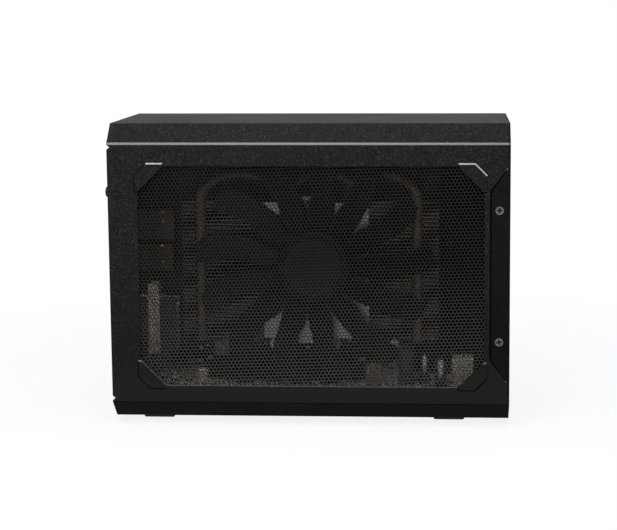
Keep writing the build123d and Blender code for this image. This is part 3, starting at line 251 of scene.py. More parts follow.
def cells(tree, place, size):
    """Outputs of random cells of a given size in metres."""
    return new_node(tree, "ShaderNodeTexVoronoi", {"Vector": place, "Scale": 1.0 / size}).outputs


def tones(tree, value, stops):
    """Colours along a value."""
    node = new_node(tree, "ShaderNodeValToRGB", {0: value})
    elements = node.color_ramp.elements
    while len(elements) < len(stops):
        elements.new(0.5)
    for element, (place, colour) in zip(elements, stops):
        element.position = place
        element.color = (*colour, 1.0)
    return node.outputs[0]


def spread(tree, value, start, end, low, high, **settings):
    """A value that runs from low to high while another runs from start to end."""
    inputs = {"Value": value, "From Min": start, "From Max": end, "To Min": low, "To Max": high}
    return new_node(tree, "ShaderNodeMapRange", inputs, **settings).outputs["Result"]


def between(tree, noise, low, high):
    """A value from noise spread between two levels."""
    return spread(tree, noise, 0.3, 0.7, low, high)


def calculation(tree, kind, *values):
    """One step of arithmetic on patterns."""
    return new_node(tree, "ShaderNodeMath", dict(enumerate(values)), operation=kind).outputs[0]


def all_of(tree, *masks):
    """One where every mask is one."""
    product = masks[0]
    for mask in masks[1:]:
        product = calculation(tree, "MULTIPLY", product, mask)
    return product


def axes(tree, vector):
    """The X, Y and Z of a vector."""
    return new_node(tree, "ShaderNodeSeparateXYZ", {0: vector}).outputs


def mixed(tree, share, first, second, blend="MIX"):
    """One pattern of colour laid over another."""
    inputs = {"Factor": share, "A": first, "B": second}
    return new_node(tree, "ShaderNodeMix", inputs, data_type="RGBA", blend_type=blend).outputs["Result"]


def relief(tree, height, depth):
    """A surface raised by a height pattern, depth in metres."""
    inputs = {"Strength": 1.0, "Distance": depth, "Height": height}
    return new_node(tree, "ShaderNodeBump", inputs).outputs["Normal"]


def shade(colour, factor):
    """A lighter or darker tone of a colour."""
    return tuple(min(1.0, part * factor) for part in colour)


def plain_finish(name, colour, size, rough, vary=0.25, metal=0.0, gloss=0.1, depth=0.00002, stretch=None):
    """A finish with mottled colour, uneven gloss and a fine relief."""
    tree, shader, place = new_finish(name)
    if stretch:
        place = new_node(tree, "ShaderNodeMapping", {"Vector": place, "Scale": stretch}).outputs["Vector"]
    fine = mottle(tree, place, size)
    stops = [(0.3, shade(colour, 1 - vary)), (0.5, colour), (0.7, shade(colour, 1 + vary))]
    set_inputs(tree, shader, {
        "Base Color": tones(tree, mottle(tree, place, size * 6, 3.0), stops),
        "Roughness": between(tree, fine, rough * 0.85, rough * 1.15),
        "Metallic": metal,
        "Specular IOR Level": gloss,
        "Normal": relief(tree, fine, depth),
    })


def powder_coat(name, colour, rough, grain, gloss, painted_light_pattern=None, contrast=1.0):
    """Matt textured paint: fine grain that catches the light, with lighter flecks and, where given, a pattern of
    painted light and shade.
    """
    tree, shader, place = new_finish(name)
    levels = ((0.0, 0.35), (0.5, 0.8), (0.8, 1.5), (0.97, 3.6))
    stops = [(spot, shade(colour, 1.0 + (tone - 1.0) * contrast)) for spot, tone in levels]
    colours = tones(tree, cells(tree, place, grain)["Color"], stops)
    if painted_light_pattern:
        # Painted highlights and shade laid over the grain.
        colours = painted_light_pattern(tree, place, colours, colour)
    set_inputs(tree, shader, {
        "Base Color": colours,
        "Roughness": between(tree, mottle(tree, place, 0.045), rough * 0.94, rough * 1.08),
        "Specular IOR Level": gloss,
        "Normal": relief(tree, mottle(tree, place, grain * 0.6, 3.0, 0.6), 0.00009),
    })


def painted_light_lower_rows(tree, place, colours, colour):
    """Painted light: the mesh paint turns paler toward the lower rows."""
    lower_light = spread(tree, axes(tree, place)["Z"], 0.09, 0.028, 0.0, 1.0)
    return mixed(tree, lower_light, colours, (*shade(colour, 3.6), 1.0))


def painted_highlights_and_shade(tree, place, colours, colour):
    """Painted highlights on the upper bend and on edges that face up. Painted shade on faces that look down, on
    slopes that face the rear and toward the base, where the grain also calms to plain colour.
    """
    bend_level, bend_half = cad_high.z - 0.0101, 0.0006
    roof_level, pad_level = cad_high.z - 0.0125, 0.1
    side_reach, rear_rim = 0.0465, cad_low.x + 0.008
    upward, slanted = 0.25, -0.3
    spot = axes(tree, place)
    facing = axes(tree, tree.nodes.new("ShaderNodeNewGeometry").outputs["Normal"])
    on_side = calculation(tree, "GREATER_THAN", calculation(tree, "ABSOLUTE", spot["Y"]), side_reach)
    walls = all_of(tree, on_side, calculation(tree, "LESS_THAN", spot["Z"], roof_level))
    rearward = calculation(tree, "LESS_THAN", facing["X"], slanted)
    forward = calculation(tree, "GREATER_THAN", facing["X"], slanted)
    edges = all_of(tree, walls, forward, calculation(tree, "GREATER_THAN", facing["Z"], upward))
    tones_and_masks = (
        # Painted shade: the coat darkens from 100 mm down to 50 mm above the floor.
        (0.66, spread(tree, spot["Z"], 0.1, 0.05, 0.0, 0.55)),
        # Painted light: close to the base the grain gives way to plain colour, for the soft light from the floor.
        (1.02, spread(tree, spot["Z"], 0.036, 0.02, 0.0, 0.85)),
        # Painted shade on faces that look down.
        (0.12, calculation(tree, "LESS_THAN", facing["Z"], slanted)),
        # Painted shade on slopes of the side walls that face the rear.
        (0.2, all_of(tree, walls, rearward, calculation(tree, "GREATER_THAN", spot["X"], rear_rim))),
        # Painted highlight on edges of the side walls that face up.
        (8.0, edges),
        # Painted highlight along the bend below the top bevel.
        (14.0, all_of(tree, on_side, calculation(tree, "COMPARE", spot["Z"], bend_level, bend_half))),
        # Brighter painted highlight on the upward edges of the upper corner pads.
        (26.0, all_of(tree, edges, calculation(tree, "GREATER_THAN", spot["Z"], pad_level))),
    )
    for tone, mask in tones_and_masks:
        colours = mixed(tree, mask, colours, (*shade(colour, tone), 1.0))
    return colours


def spangled(name, colour, rough):
    """Zinc-plated sheet with faint crystal patches."""
    tree, shader, place = new_finish(name)
    fine = mottle(tree, place, 0.0009, 3.0)
    stops = [(0.2, shade(colour, 0.78)), (0.8, shade(colour, 1.12))]
    set_inputs(tree, shader, {
        "Base Color": tones(tree, cells(tree, place, 0.006)["Color"], stops),
        "Roughness": between(tree, fine, rough * 0.85, rough * 1.2),
        "Metallic": 1.0,
        "Normal": relief(tree, fine, 0.00001),
    })


def laminate(name, colour, solder):
    """Solder mask over copper tracks, with pale solder points."""
    tree, shader, place = new_finish(name)
    inputs = {
        "Vector": place,
        "Scale": 62.0,
        "Mortar Size": 0.045,
        "Color1": (*shade(colour, 0.9), 1.0),
        "Color2": (*shade(colour, 1.15), 1.0),
        "Mortar": (*shade(colour, 2.4), 1.0),
    }
    tracks = new_node(tree, "ShaderNodeTexBrick", inputs, offset=0.37, squash=1.7).outputs["Color"]
    points = cells(tree, place, 0.0019)["Distance"]
    dots = tones(tree, points, [(0.16, solder), (0.24, (0.0, 0.0, 0.0))])
    set_inputs(tree, shader, {
        "Base Color": mixed(tree, 1.0, tracks, dots, "LIGHTEN"),
        "Roughness": between(tree, mottle(tree, place, 0.0008), 0.3, 0.45),
        "Specular IOR Level": 0.1,
        "Normal": relief(tree, tracks, 0.00004),
    })


def make_finishes(scene):
    """All finishes of the enclosure, one for each material slot and a few for fine pieces."""
    paint = scene.enclosure_paint
    boards = scene.enclosure_boards
    colour = tuple(paint.colour)
    plastic = tuple(scene.enclosure_fan.colour)
    # The case paint carries painted highlights and painted shade.
    powder_coat("case_paint", colour, paint.roughness, paint.grain, 0.02, painted_highlights_and_shade, 0.92)
    # The front panel takes a darker copy of the case paint: painted shade on the panel and its tab.
    powder_coat("shaded_panel_paint", shade(colour, 0.52), paint.roughness, paint.grain, 0.02, painted_highlights_and_shade, 0.5)
    # The mesh paint carries painted light, paler toward its lower rows.
    powder_coat("mesh_paint", shade(colour, 0.78), 0.45, 0.0007, 0.11, painted_light_lower_rows, 0.3)
    powder_coat("backplate_paint", shade(colour, 1.2), 0.5, 0.0007, 0.2)
    plain_finish("screw_steel", (0.135, 0.132, 0.126), 0.0004, 0.36, metal=1.0)
    plain_finish("black_screw", (0.022, 0.021, 0.021), 0.0004, 0.42, metal=0.25)
    plain_finish("brass_post", (0.62, 0.45, 0.2), 0.0005, 0.3, metal=1.0)
    spangled("zinc_steel", (0.4, 0.4, 0.39), 0.38)
    spangled("supply_steel", (0.5, 0.5, 0.49), 0.36)
    plain_finish("foot_rubber", (0.011, 0.011, 0.0108), 0.0006, 0.75, gloss=0.3, depth=0.00006)
    laminate("board_laminate", tuple(boards.laminate), (0.8, 0.7, 0.52))
    laminate("card_laminate", tuple(boards.laminate), (0.05, 0.047, 0.04))
    plain_finish("part_plastic", (0.16, 0.13, 0.035), 0.0008, 0.45)
    plain_finish("black_plastic", (0.014, 0.0138, 0.0135), 0.0006, 0.45, depth=0.00003)
    plain_finish("port_steel", (0.55, 0.54, 0.52), 0.0006, 0.3, metal=1.0, stretch=(1, 1, 6))
    plain_finish("socket_metal", (0.062, 0.049, 0.039), 0.0006, 0.36, metal=1.0, stretch=(1, 1, 6))
    plain_finish("capacitor_can", (0.36, 0.36, 0.355), 0.0005, 0.34, metal=1.0)
    plain_finish("choke_body", (0.06, 0.057, 0.053), 0.0005, 0.6, depth=0.00004)
    plain_finish("pale_choke", (0.32, 0.305, 0.265), 0.0005, 0.6, depth=0.00004)
    plain_finish("fin_aluminium", (0.15, 0.127, 0.107), 0.0006, 0.42, metal=0.9, stretch=(1, 8, 8))
    plain_finish("cream_plastic", (0.54, 0.475, 0.375), 0.0009, 0.42, vary=0.1)
    plain_finish("white_plastic", (0.82, 0.76, 0.64), 0.0009, 0.42, vary=0.08)
    plain_finish("tan_plastic", (0.3, 0.235, 0.165), 0.0009, 0.42, vary=0.12)
    plain_finish("bracket_steel", (0.5, 0.49, 0.47), 0.0006, 0.34, metal=1.0, stretch=(1, 6, 1))
    plain_finish("chip_body", (0.02, 0.0195, 0.019), 0.0005, 0.5)
    bright = (0.24, 0.237, 0.23)
    plain_finish("bright_aluminium", bright, 0.0006, 0.36, vary=0.1, metal=1.0, stretch=(1, 5, 5))
    plain_finish("pipe_copper", tuple(scene.enclosure_cooler.copper), 0.0009, 0.62, vary=0.2, metal=0.6)
    plain_finish("fan_plastic", plastic, 0.0007, 0.42, depth=0.00003)
    plain_finish("hub_disc", shade(plastic, 2.6), 0.0012, 0.3, depth=0.00001)
    plain_finish("can_sleeve", tuple(boards.sleeve), 0.0009, 0.32)
    plain_finish("solder", (0.93, 0.86, 0.73), 0.0003, 0.4, vary=0.15, metal=0.2)
    plain_finish("gold", (0.85, 0.58, 0.18), 0.0004, 0.3, vary=0.15, metal=0.5)
    plain_finish("small_ceramic", (0.74, 0.56, 0.34), 0.0004, 0.5)
    plain_finish("small_white", (0.95, 0.88, 0.74), 0.0004, 0.5, vary=0.12)
    plain_finish("small_black", (0.012, 0.012, 0.012), 0.0003, 0.45)


# Making of pieces


class Form:
    """Points in millimetres and faces of one piece while it is being made."""

    def __init__(self):
        self.points = []
        self.faces = []
        self.kinds = []

    def add(self, points, faces, kind=0):
        """Adds points and the faces between them."""
        start = len(self.points)
        self.points.extend(points)
        self.faces.extend([start + index for index in face] for face in faces)
        self.kinds.extend([kind] * len(faces))

    def skin(self, rings):
        """A closed form through rings of equally many points, with a face at each end."""
        count = len(rings[0])
        last = (len(rings) - 1) * count
        faces = [list(range(count))[::-1], list(range(last, last + count))]
        for row in range(0, last, count):
            for i in range(count):
                j = (i + 1) % count
                faces.append([row + i, row + j, row + count + j, row + count + i])
        self.add([point for ring in rings for point in ring], faces)

    def block(self, low, high, cut, kind):
        """A box between two corners with its edges cut."""
        middle = [(a + b) / 2 for a, b in zip(low, high)]
        half = [abs(b - a) / 2 for a, b in zip(low, high)]
        cut = min(cut, 0.6 * min(half))
        signs = [(x, y, z) for x in (-1, 1) for y in (-1, 1) for z in (-1, 1)]
        points = []
        spot = {}
        for sign in signs:
            for axis in range(3):
                spot[sign, axis] = len(points)
                points.append(
                    [middle[i] + sign[i] * (half[i] - (0 if i == axis else cut)) for i in range(3)]
                )

        def corner(pairs):
            return tuple(pairs[axis] for axis in range(3))

        faces = []
        for axis in range(3):
            one, two = [i for i in range(3) if i != axis]
            for side in (-1, 1):
                ring = [(-1, -1), (1, -1), (1, 1), (-1, 1)]
                faces.append([spot[corner({axis: side, one: a, two: b}), axis] for a, b in ring])
            for a in (-1, 1):
                for b in (-1, 1):
                    start = corner({axis: -1, one: a, two: b})
                    end = corner({axis: 1, one: a, two: b})
                    faces.append([spot[start, one], spot[end, one], spot[end, two], spot[start, two]])
        for sign in signs:
            faces.append([spot[sign, 0], spot[sign, 1], spot[sign, 2]])
        self.add(points, faces, kind)

    def bar(self, ends, middle, half, cut, kind):
        """A block along X, from its ends and its middle and half size in Y and Z."""
        low = (ends[0], middle[0] - half[0], middle[1] - half[1])
        high = (ends[1], middle[0] + half[0], middle[1] + half[1])
        self.block(low, high, cut, kind)

    def prism(self, outline, low, high):
        """An outline in X and Y carried from one level to another."""
        self.skin([[(x, y, level) for x, y in outline] for level in (low, high)])

    def sheet(self, line, thick, left, right):
        """A bent strip of sheet: a line in Y and Z, thickened toward the back and carried along X."""
        outline = list(line) + [(y + thick, z) for y, z in reversed(line)]
        self.skin([[(x, y, z) for y, z in outline] for x in (left, right)])

    def lathe(self, profile, centre, axis, sides, kind=0):
        """A round form turned from (radius, distance) steps along an axis."""
        rings = []
        points = []
        faces = []
        for radius, along in profile:
            ring = []
            count = 1 if radius == 0 else sides
            for i in range(count):
                angle = 2 * math.pi * i / sides
                u, v = radius * math.cos(angle), radius * math.sin(angle)
                spot = {"Y": (u, along, v), "Z": (u, v, along)}[axis]
                ring.append(len(points))
                points.append([a + b for a, b in zip(centre, spot)])
            rings.append(ring)
        for one, two in zip(rings, rings[1:]):
            for i in range(sides):
                j = (i + 1) % sides
                face = [one[i % len(one)], one[j % len(one)], two[j % len(two)], two[i % len(two)]]
                face = list(dict.fromkeys(face))
                if len(face) > 2:
                    faces.append(face)
        self.add(points, faces, kind)

    def tube(self, path, radius, across, sides):
        """A round tube with domed ends along a path that lies in one plane; across is that plane's normal."""
        across = across.normalized()
        steps = []
        for index, point in enumerate(path):
            before = path[max(index - 1, 0)]
            after = path[min(index + 1, len(path) - 1)]
            steps.append((point, (after - before).normalized(), radius))

        def dome(step, out):
            point, along, _ = step
            rise = radius * 0.5 * out
            return [(point + along * rise * math.sqrt(1 - s * s), along, radius * s) for s in (0.55, 0.9)]

        rings = []
        for centre, along, size in dome(steps[0], -1) + steps + dome(steps[-1], 1)[::-1]:
            side = along.cross(across).normalized()
            turns = [2 * math.pi * i / sides for i in range(sides)]
            rings.append([
                centre + side * (size * math.cos(turn)) + across * (size * math.sin(turn)) for turn in turns
            ])
        self.skin(rings)

    def make(self, name, looks, body, replaced=(), bend=35.0):
        """Turns the points and faces into a piece that rides on a body."""
        mesh = bpy.data.meshes.new(name)
        mesh.from_pydata([tuple(part * MM for part in point) for point in self.points], [], self.faces)
        for look in looks:
            mesh.materials.append(finishes[look])
        mesh.polygons.foreach_set("material_index", self.kinds)
        work = bmesh.new()
        work.from_mesh(mesh)
        bmesh.ops.recalc_face_normals(work, faces=work.faces)
        work.to_mesh(mesh)
        work.free()
        mesh.shade_smooth()
        mesh.set_sharp_from_angle(angle=math.radians(bend))
        piece = bpy.data.objects.new(name, mesh)
        bpy.context.scene.collection.objects.link(piece)
        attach(piece, body)
        if replaced:
            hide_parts(*replaced)


def head(form, centre, out, radius, height, recess, turn, flat=False, kind=0, inside=0):
    """A screw head with a cross recess; out is the direction that it faces."""
    centre, out = Vector(centre), Vector(out)
    side = out.orthogonal().normalized()
    rise = out.cross(side)
    sides = 40
    shares = (0.16, 0.28, 0.40, 0.50, 0.58, 0.66, 0.78, 0.88, 0.95, 1.0)
    arm_half, arm_slope = 0.19, 0.06
    arm_end, end_slope = 0.62, 0.1
    fall = 0.02 if flat else 0.35 * height
    angles = [2 * math.pi * i / sides for i in range(sides)]

    def point(share, angle, level):
        across, up = radius * share * math.cos(angle), radius * share * math.sin(angle)
        return centre + side * across + rise * up + out * level

    def ramp(value):
        return min(1.0, max(0.0, value))

    points = [point(0.0, 0.0, height - recess)]
    walls = [1.0]
    for share in shares:
        rim = 0.12 * height if share == 1.0 else 0.0
        for angle in angles:
            u, v = abs(math.cos(angle + turn) * share), abs(math.sin(angle + turn) * share)
            reach = max(u, v)
            wall = ramp((arm_half - min(u, v)) / arm_slope) * ramp((arm_end - reach) / end_slope)
            dome = height - fall * share ** 2 - rim
            points.append(point(share, angle, dome - recess * wall * (1.0 - 0.35 * reach)))
            walls.append(wall)
    points += [point(1.0, angle, 0.0) for angle in angles]
    walls += [0.0] * sides
    faces = []
    for row in range(1, len(points) - sides, sides):
        for i in range(sides):
            j = (i + 1) % sides
            faces.append([row + i, row + j, row + sides + j, row + sides + i])
    faces += [[0, 1 + i, 1 + (i + 1) % sides] for i in range(sides)]
    faces.append(list(range(len(points) - sides, len(points))))
    start = len(form.kinds)
    form.add(points, faces, kind)
    for number, face in enumerate(faces):
        # Faces inside the cross recess take their own look; black there is painted shade.
        if sum(walls[i] for i in face) > 0.6 * len(face):
            form.kinds[start + number] = inside


small_looks = ["solder", "small_ceramic", "small_black", "small_white"]
# Length, width, height and look of each kind of small soldered part
small_kinds = {
    "ceramic": (1.6, 0.9, 0.8, 1),
    "resistor": (2.0, 1.2, 0.55, 2),
    "filter": (3.4, 2.6, 1.8, 3),
    "regulator": (4.6, 3.8, 1.2, 2),
    "tantalum": (3.2, 1.7, 2.9, 3),
    "array": (1.9, 1.3, 3.6, 3),
    "bead": (1.3, 1.0, 4.2, 1),
}
common_kinds = ("point", "point", "ceramic", "ceramic", "resistor", "filter", "regulator")


def on_board(form, top):
    """Puts blocks on a level board; the third measure counts up from it."""

    def put(low, high, cut, kind):
        form.block((low[0], low[1], top + low[2]), (high[0], high[1], top + high[2]), cut, kind)

    return put


def on_card(form, face):
    """Puts blocks on the upright card; the third measure counts out from its near face."""

    def put(low, high, cut, kind):
        form.block((low[0], face - high[2], low[1]), (high[0], face - low[2], high[1]), cut, kind)

    return put


def solder_point(put, u, v):
    """A small pad of solder."""
    put((u - 0.42, v - 0.35, 0.0), (u + 0.42, v + 0.35, 0.35), 0.2, 0)


def small_part(put, kind, u, v, turned):
    """A soldered part: a body between two solder ends, or a flat body with three legs on each side."""
    long, wide, tall, body = small_kinds[kind]

    def piece(a, b, c, d, height, cut, look):
        """A block from a to b along the part and from c to d across it."""
        if turned:
            put((u + c, v + a, 0.0), (u + d, v + b, height), cut, look)
        else:
            put((u + a, v + c, 0.0), (u + b, v + d, height), cut, look)

    half, side = long / 2, wide / 2
    if kind == "regulator":
        leg_half, leg_long, leg_tall = 0.3, 0.6, 0.4
        piece(-half + 0.3, half - 0.3, -side + 0.55, side - 0.55, tall, 0.12, body)
        for leg in (-1.3, 0.0, 1.3):
            piece(leg - leg_half, leg + leg_half, -side, -side + leg_long, leg_tall, 0.1, 0)
            piece(leg - leg_half, leg + leg_half, side - leg_long, side, leg_tall, 0.1, 0)
        return
    end = 0.28 * long
    piece(-half, -half + end, -side, side, tall, 0.12, 0)
    piece(half - end, half, -side, side, tall, 0.12, 0)
    piece(-half + end, half - end, -side + 0.03, side - 0.03, tall - 0.04, 0.06, body)


def footprints(names, u, v):
    """Rectangles along two axes that the solids of some nodes take up."""
    return [(low[u], low[v], high[u], high[v]) for node in names for low, high in solid_boxes(node)]


def scatter(put, area, taken, wanted, rng, kinds=common_kinds):
    """Spreads small parts and solder points over an area, clear of what is already there."""
    clear, tries = 0.3, 30
    made = 0
    for _ in range(wanted * tries):
        if made == wanted:
            break
        kind = rng.choice(kinds)
        u, v = rng.uniform(area[0], area[2]), rng.uniform(area[1], area[3])
        turned = rng.random() < 0.5
        long, wide = (1.0, 0.8) if kind == "point" else small_kinds[kind][:2]
        if turned:
            long, wide = wide, long
        half, side = long / 2 + clear, wide / 2 + clear
        spot = (u - half, v - side, u + half, v + side)
        if any(spot[0] < b[2] and spot[2] > b[0] and spot[1] < b[3] and spot[3] > b[1] for b in taken):
            continue
        if spot[0] < area[0] or spot[1] < area[1] or spot[2] > area[2] or spot[3] > area[3]:
            continue
        taken.append(spot)
        made += 1
        if kind == "point":
            solder_point(put, u, v)
        else:
            small_part(put, kind, u, v, turned)


# Width in millimetres of the rounded edges of pieces of the solid model
rounded_edges = {
    0.08: ("link_port",),
    0.1: ("card_board", "docking_board", "supply_board"),
    0.15: ("graphics_chip", "memory_chips", "board_heatsink"),
    0.2: (
        "rear_panel", "chassis_tray", "supply_cover", "supply_shelf", "card_bracket", "fan_mount",
        "board_standoffs", "fan_stator",
    ),
    0.25: (
        "case_sleeve", "supply_case", "card_slot", "data_ports", "video_socket_upper", "video_socket_middle",
        "video_socket_lower", "card_backplate", "supply_fan_frame",
    ),
    0.3: ("front_panel", "power_inlet", "card_power_socket", "cooler_base", "supply_parts"),
    0.4: ("board_power_socket", "video_socket_body"),
    0.6: ("board_chokes", "card_chokes"),
    0.8: ("feet",),
}
# Pieces whose finish is another one than that of their material slot
own_finish = {
    "card_board": "card_laminate",
    "card_chokes": "pale_choke",
    "board_power_socket": "white_plastic",
    "front_panel": "shaded_panel_paint",
}


def round_edges(piece, width):
    """Joins the faces of a piece and rounds its edges."""
    weld = piece.modifiers.new("Weld", "WELD")
    weld.merge_threshold = 1e-6
    edge = piece.modifiers.new("Rounded edges", "BEVEL")
    edge.width = width * MM
    edge.segments = 2
    edge.limit_method = "ANGLE"
    edge.angle_limit = math.radians(38)
    edge.harden_normals = True


class ENCLOSURE_OT_finishes(bpy.types.Operator):
    """Makes the finishes and gives each piece of the solid model its own"""

    bl_idname = "enclosure.finishes"
    bl_label = "Paint and metal finishes"

    def execute(self, context):
        make_finishes(context.scene)
        for entry in record["subparts"]:
            node = entry["node"]
            looks = nodes[node].data.materials
            looks.clear()
            looks.append(finishes[own_finish.get(node, entry["material_slot"])])
        for width, names in rounded_edges.items():
            for node in names:
                round_edges(nodes[node], width)
        return {"FINISHED"}


def perforated_plate(name, node, mirrored, mesh):
    """A sheet with staggered six-sided holes inside the window and a plain border round them."""
    lap, corner_cut = 2.4, 13.8
    sheet_margin, hole_margin = 2.2, 0.9
    pitch, hole = mesh.pitch / MM, mesh.hole / MM
    lean = math.tan(mesh.tilt)
    row_step = pitch * math.sqrt(3) / 2
    corner = hole / math.sqrt(3)
    low, high = box(node)
    front, back = (high.y, low.y) if mirrored else (low.y, high.y)
    middle_x, middle_z = (low.x + high.x) / 2, (low.z + high.z) / 2
    half_x, half_z = (high.x - low.x) / 2 - lap, (high.z - low.z) / 2 - lap

    def inside(x, z, margin):
        u = abs(x - middle_x) - half_x - margin
        v = abs(z - middle_z) - half_z - margin
        return u < 0 and v < 0 and u + v < -corner_cut - margin * 0.2

    columns = int(half_x / pitch) + 4
    rows = int(half_z / row_step) + 6
    form = Form()
    # First point of each six-sided place, and whether it is open
    places = {}
    for row in range(-rows, rows + 1):
        for column in range(-columns, columns + 1):
            x = middle_x + (column + 0.5 * (row % 2)) * pitch
            z = middle_z + row * row_step + (x - middle_x) * lean
            if not inside(x, z, sheet_margin):
                continue
            places[row, column] = (len(form.points), inside(x, z, hole_margin))
            for i in range(6):
                angle = math.radians(30 + 60 * i)
                form.points.append((x + corner * math.cos(angle), front, z + corner * math.sin(angle)))
    sheet = []
    for (row, column), (base, is_open) in places.items():
        shift = row % 2
        right, _ = places.get((row, column + 1), (None, False))
        upper_right, _ = places.get((row + 1, column + shift), (None, False))
        upper_left, _ = places.get((row + 1, column + shift - 1), (None, False))
        if not is_open:
            sheet.append([base + i for i in range(6)])
        if right is not None:
            sheet.append([base + 5, right + 3, right + 2, base])
        if upper_right is not None:
            sheet.append([base, upper_right + 4, upper_right + 3, base + 1])
        if upper_left is not None:
            sheet.append([base + 1, upper_left + 5, upper_left + 4, base + 2])
        if right is not None and upper_right is not None:
            sheet.append([base, right + 2, upper_right + 4])
        if upper_left is not None and upper_right is not None:
            sheet.append([base + 1, upper_right + 3, upper_left + 5])
    count = len(form.points)
    form.points.extend([(x, back, z) for x, _, z in form.points])
    edges = set()
    for face in sheet:
        edges.update(zip(face, face[1:] + face[:1]))
    walls = [[b, a, a + count, b + count] for a, b in edges if (b, a) not in edges]
    form.faces = sheet + [[i + count for i in reversed(face)] for face in sheet] + walls
    form.kinds = [0] * len(form.faces)
    form.make(name, ["mesh_paint"], "case", [node], bend=30.0)


class ENCLOSURE_OT_side_plates(bpy.types.Operator):
    """Makes the perforated plates behind the two windows"""

    bl_idname = "enclosure.side_plates"
    bl_label = "Perforated side plates"

    def execute(self, context):
        mesh = context.scene.enclosure_mesh
        perforated_plate("card_side_plate", "side_mesh_card", False, mesh)
        perforated_plate("supply_side_plate", "side_mesh_supply", True, mesh)
        return {"FINISHED"}


class ENCLOSURE_OT_screws(bpy.types.Operator):
    """Makes the screw heads with their cross recesses"""

    bl_idname = "enclosure.screws"
    bl_label = "Screw heads"

    def execute(self, context):
        rng = random.Random(3)
        most_turn = 1.5
        flat_height, flat_recess, play = 1.1, 0.75, 0.03
        round_radius, round_recess = 2.72, 1.2
        form = Form()
        for low, high in solid_boxes("panel_screws"):
            out, face = (-1, low.y) if low.y < 0 else (1, high.y)
            centre = ((low.x + high.x) / 2, face - out * flat_height, (low.z + high.z) / 2)
            radius = (high.z - low.z) / 2 - play
            turn = rng.uniform(0, most_turn)
            head(form, centre, (0, out, 0), radius, flat_height, flat_recess, turn, flat=True, inside=1)
        # The cross recesses of the steel screws are black: painted shade.
        looks = ["screw_steel", "small_black"]
        form.make("panel_screw_heads", looks, "case", ["panel_screws"])
        for node, name, finish, axis, out in (
            ("rear_screws", "rear_screw_heads", "black_screw", 0, Vector((-1, 0, 0))),
            ("bracket_screws", "bracket_screw_heads", "black_screw", 0, Vector((-1, 0, 0))),
            ("board_screws", "board_screw_heads", "screw_steel", 2, Vector((0, 0, 1))),
        ):
            form = Form()
            for low, high in solid_boxes(node):
                height = high[axis] - low[axis]
                seat = (low + high) / 2 - out * (height / 2)
                head(form, seat, out, round_radius, height, round_recess, rng.uniform(0, most_turn))
            form.make(name, [finish], "case", [node])
        return {"FINISHED"}


# Rings of a fan blade from hub to tip: radius, trailing edge and leading edge in millimetres
blade_rings = (
    (19.2, -7.3, 2.4), (23.0, -8.1, 3.2), (27.0, -8.8, 4.2), (31.0, -9.2, 4.8), (34.0, -9.2, 4.5),
    (38.0, -8.8, 3.3), (42.0, -8.9, 3.0), (49.0, -9.1, 4.6), (56.0, -7.8, 6.8), (60.0, -5.7, 8.1),
    (62.4, -3.7, 8.9), (63.5, -2.2, 9.2),
)


def fan_hub(form, axis_x, axis_z, shaft_end):
    """The hub: a cup with a rounded rim, a sunken front disc and a shaft."""
    front, back = -42.0, -33.6
    disc, inner = front + 0.45, front + 1.6
    disc_radius, disc_play = 15.4, 0.15
    profile = [
        (0, disc), (14.6, disc), (15.3, front + 0.42), (15.8, front + 0.05), (16.6, front),
        (18.0, front + 0.02), (18.9, front + 0.22), (19.6, front + 0.75), (19.95, front + 1.5),
        (20.0, front + 2.4), (20.0, back - 0.2), (19.8, back), (18.6, back), (18.4, back - 0.2),
        (18.4, front + 1.8), (18.2, inner), (1.5, inner), (1.5, shaft_end), (0, shaft_end),
    ]
    form.lathe(profile, (axis_x, 0, axis_z), "Y", 96)
    for index, face in enumerate(form.faces):
        points = [form.points[i] for i in face]
        reach = max(math.hypot(x - axis_x, z - axis_z) for x, y, z in points)
        if reach < disc_radius and max(y for x, y, z in points) < disc + disc_play:
            form.kinds[index] = 1


def rib_height(u, ribs):
    """Height of the fine ribs at a share of the way across a blade."""
    rise, half_width = 0.16, 0.14
    place = u * (ribs + 1)
    if not 0.5 < place < ribs + 0.5:
        return 0.0
    return rise * max(0.0, 1 - abs(place - round(place)) / half_width)


def fan_blade(form, fan, axis_x, axis_z, turn):
    """One swept and twisted blade, ring by ring from the hub to the tip."""
    middle_y, crown, edge_width = -36.9, 0.45, 1.1
    root_slope, slope_loss = 0.56, 0.14
    root_stout, stout_loss, edge_stout = 1.15, 0.35, 0.35
    across = 24
    half_sheet = fan.thickness / MM / 2
    root, tip = blade_rings[0][0], blade_rings[-1][0]
    rings = []
    for radius, trail, lead in blade_rings:
        share = (radius - root) / (tip - root)
        slope = root_slope - slope_loss * share
        stout = half_sheet * (root_stout - stout_loss * share)
        ribbed = 0.06 < share < 0.97
        wide = lead - trail
        ring = []
        for side, steps in ((1, range(across + 1)), (-1, range(across - 1, 0, -1))):
            for step in steps:
                u = step / across
                tangent = trail + wide * u
                edge = min(1.0, (min(u, 1 - u) * wide / edge_width) ** 0.5)
                sheet = stout * (edge_stout + (1 - edge_stout) * edge)
                if step in (0, across):
                    sheet = 0.0
                y = middle_y - slope * tangent + crown * (1 - 4 * (u - 0.5) ** 2) - side * sheet
                if side > 0 and ribbed:
                    y -= rib_height(u, fan.ribs)
                along = math.sqrt(radius * radius - tangent * tangent)
                x = axis_x + along * math.cos(turn) - tangent * math.sin(turn)
                z = axis_z + along * math.sin(turn) + tangent * math.cos(turn)
                ring.append((x, y, z))
        rings.append(ring)
    form.skin(rings)


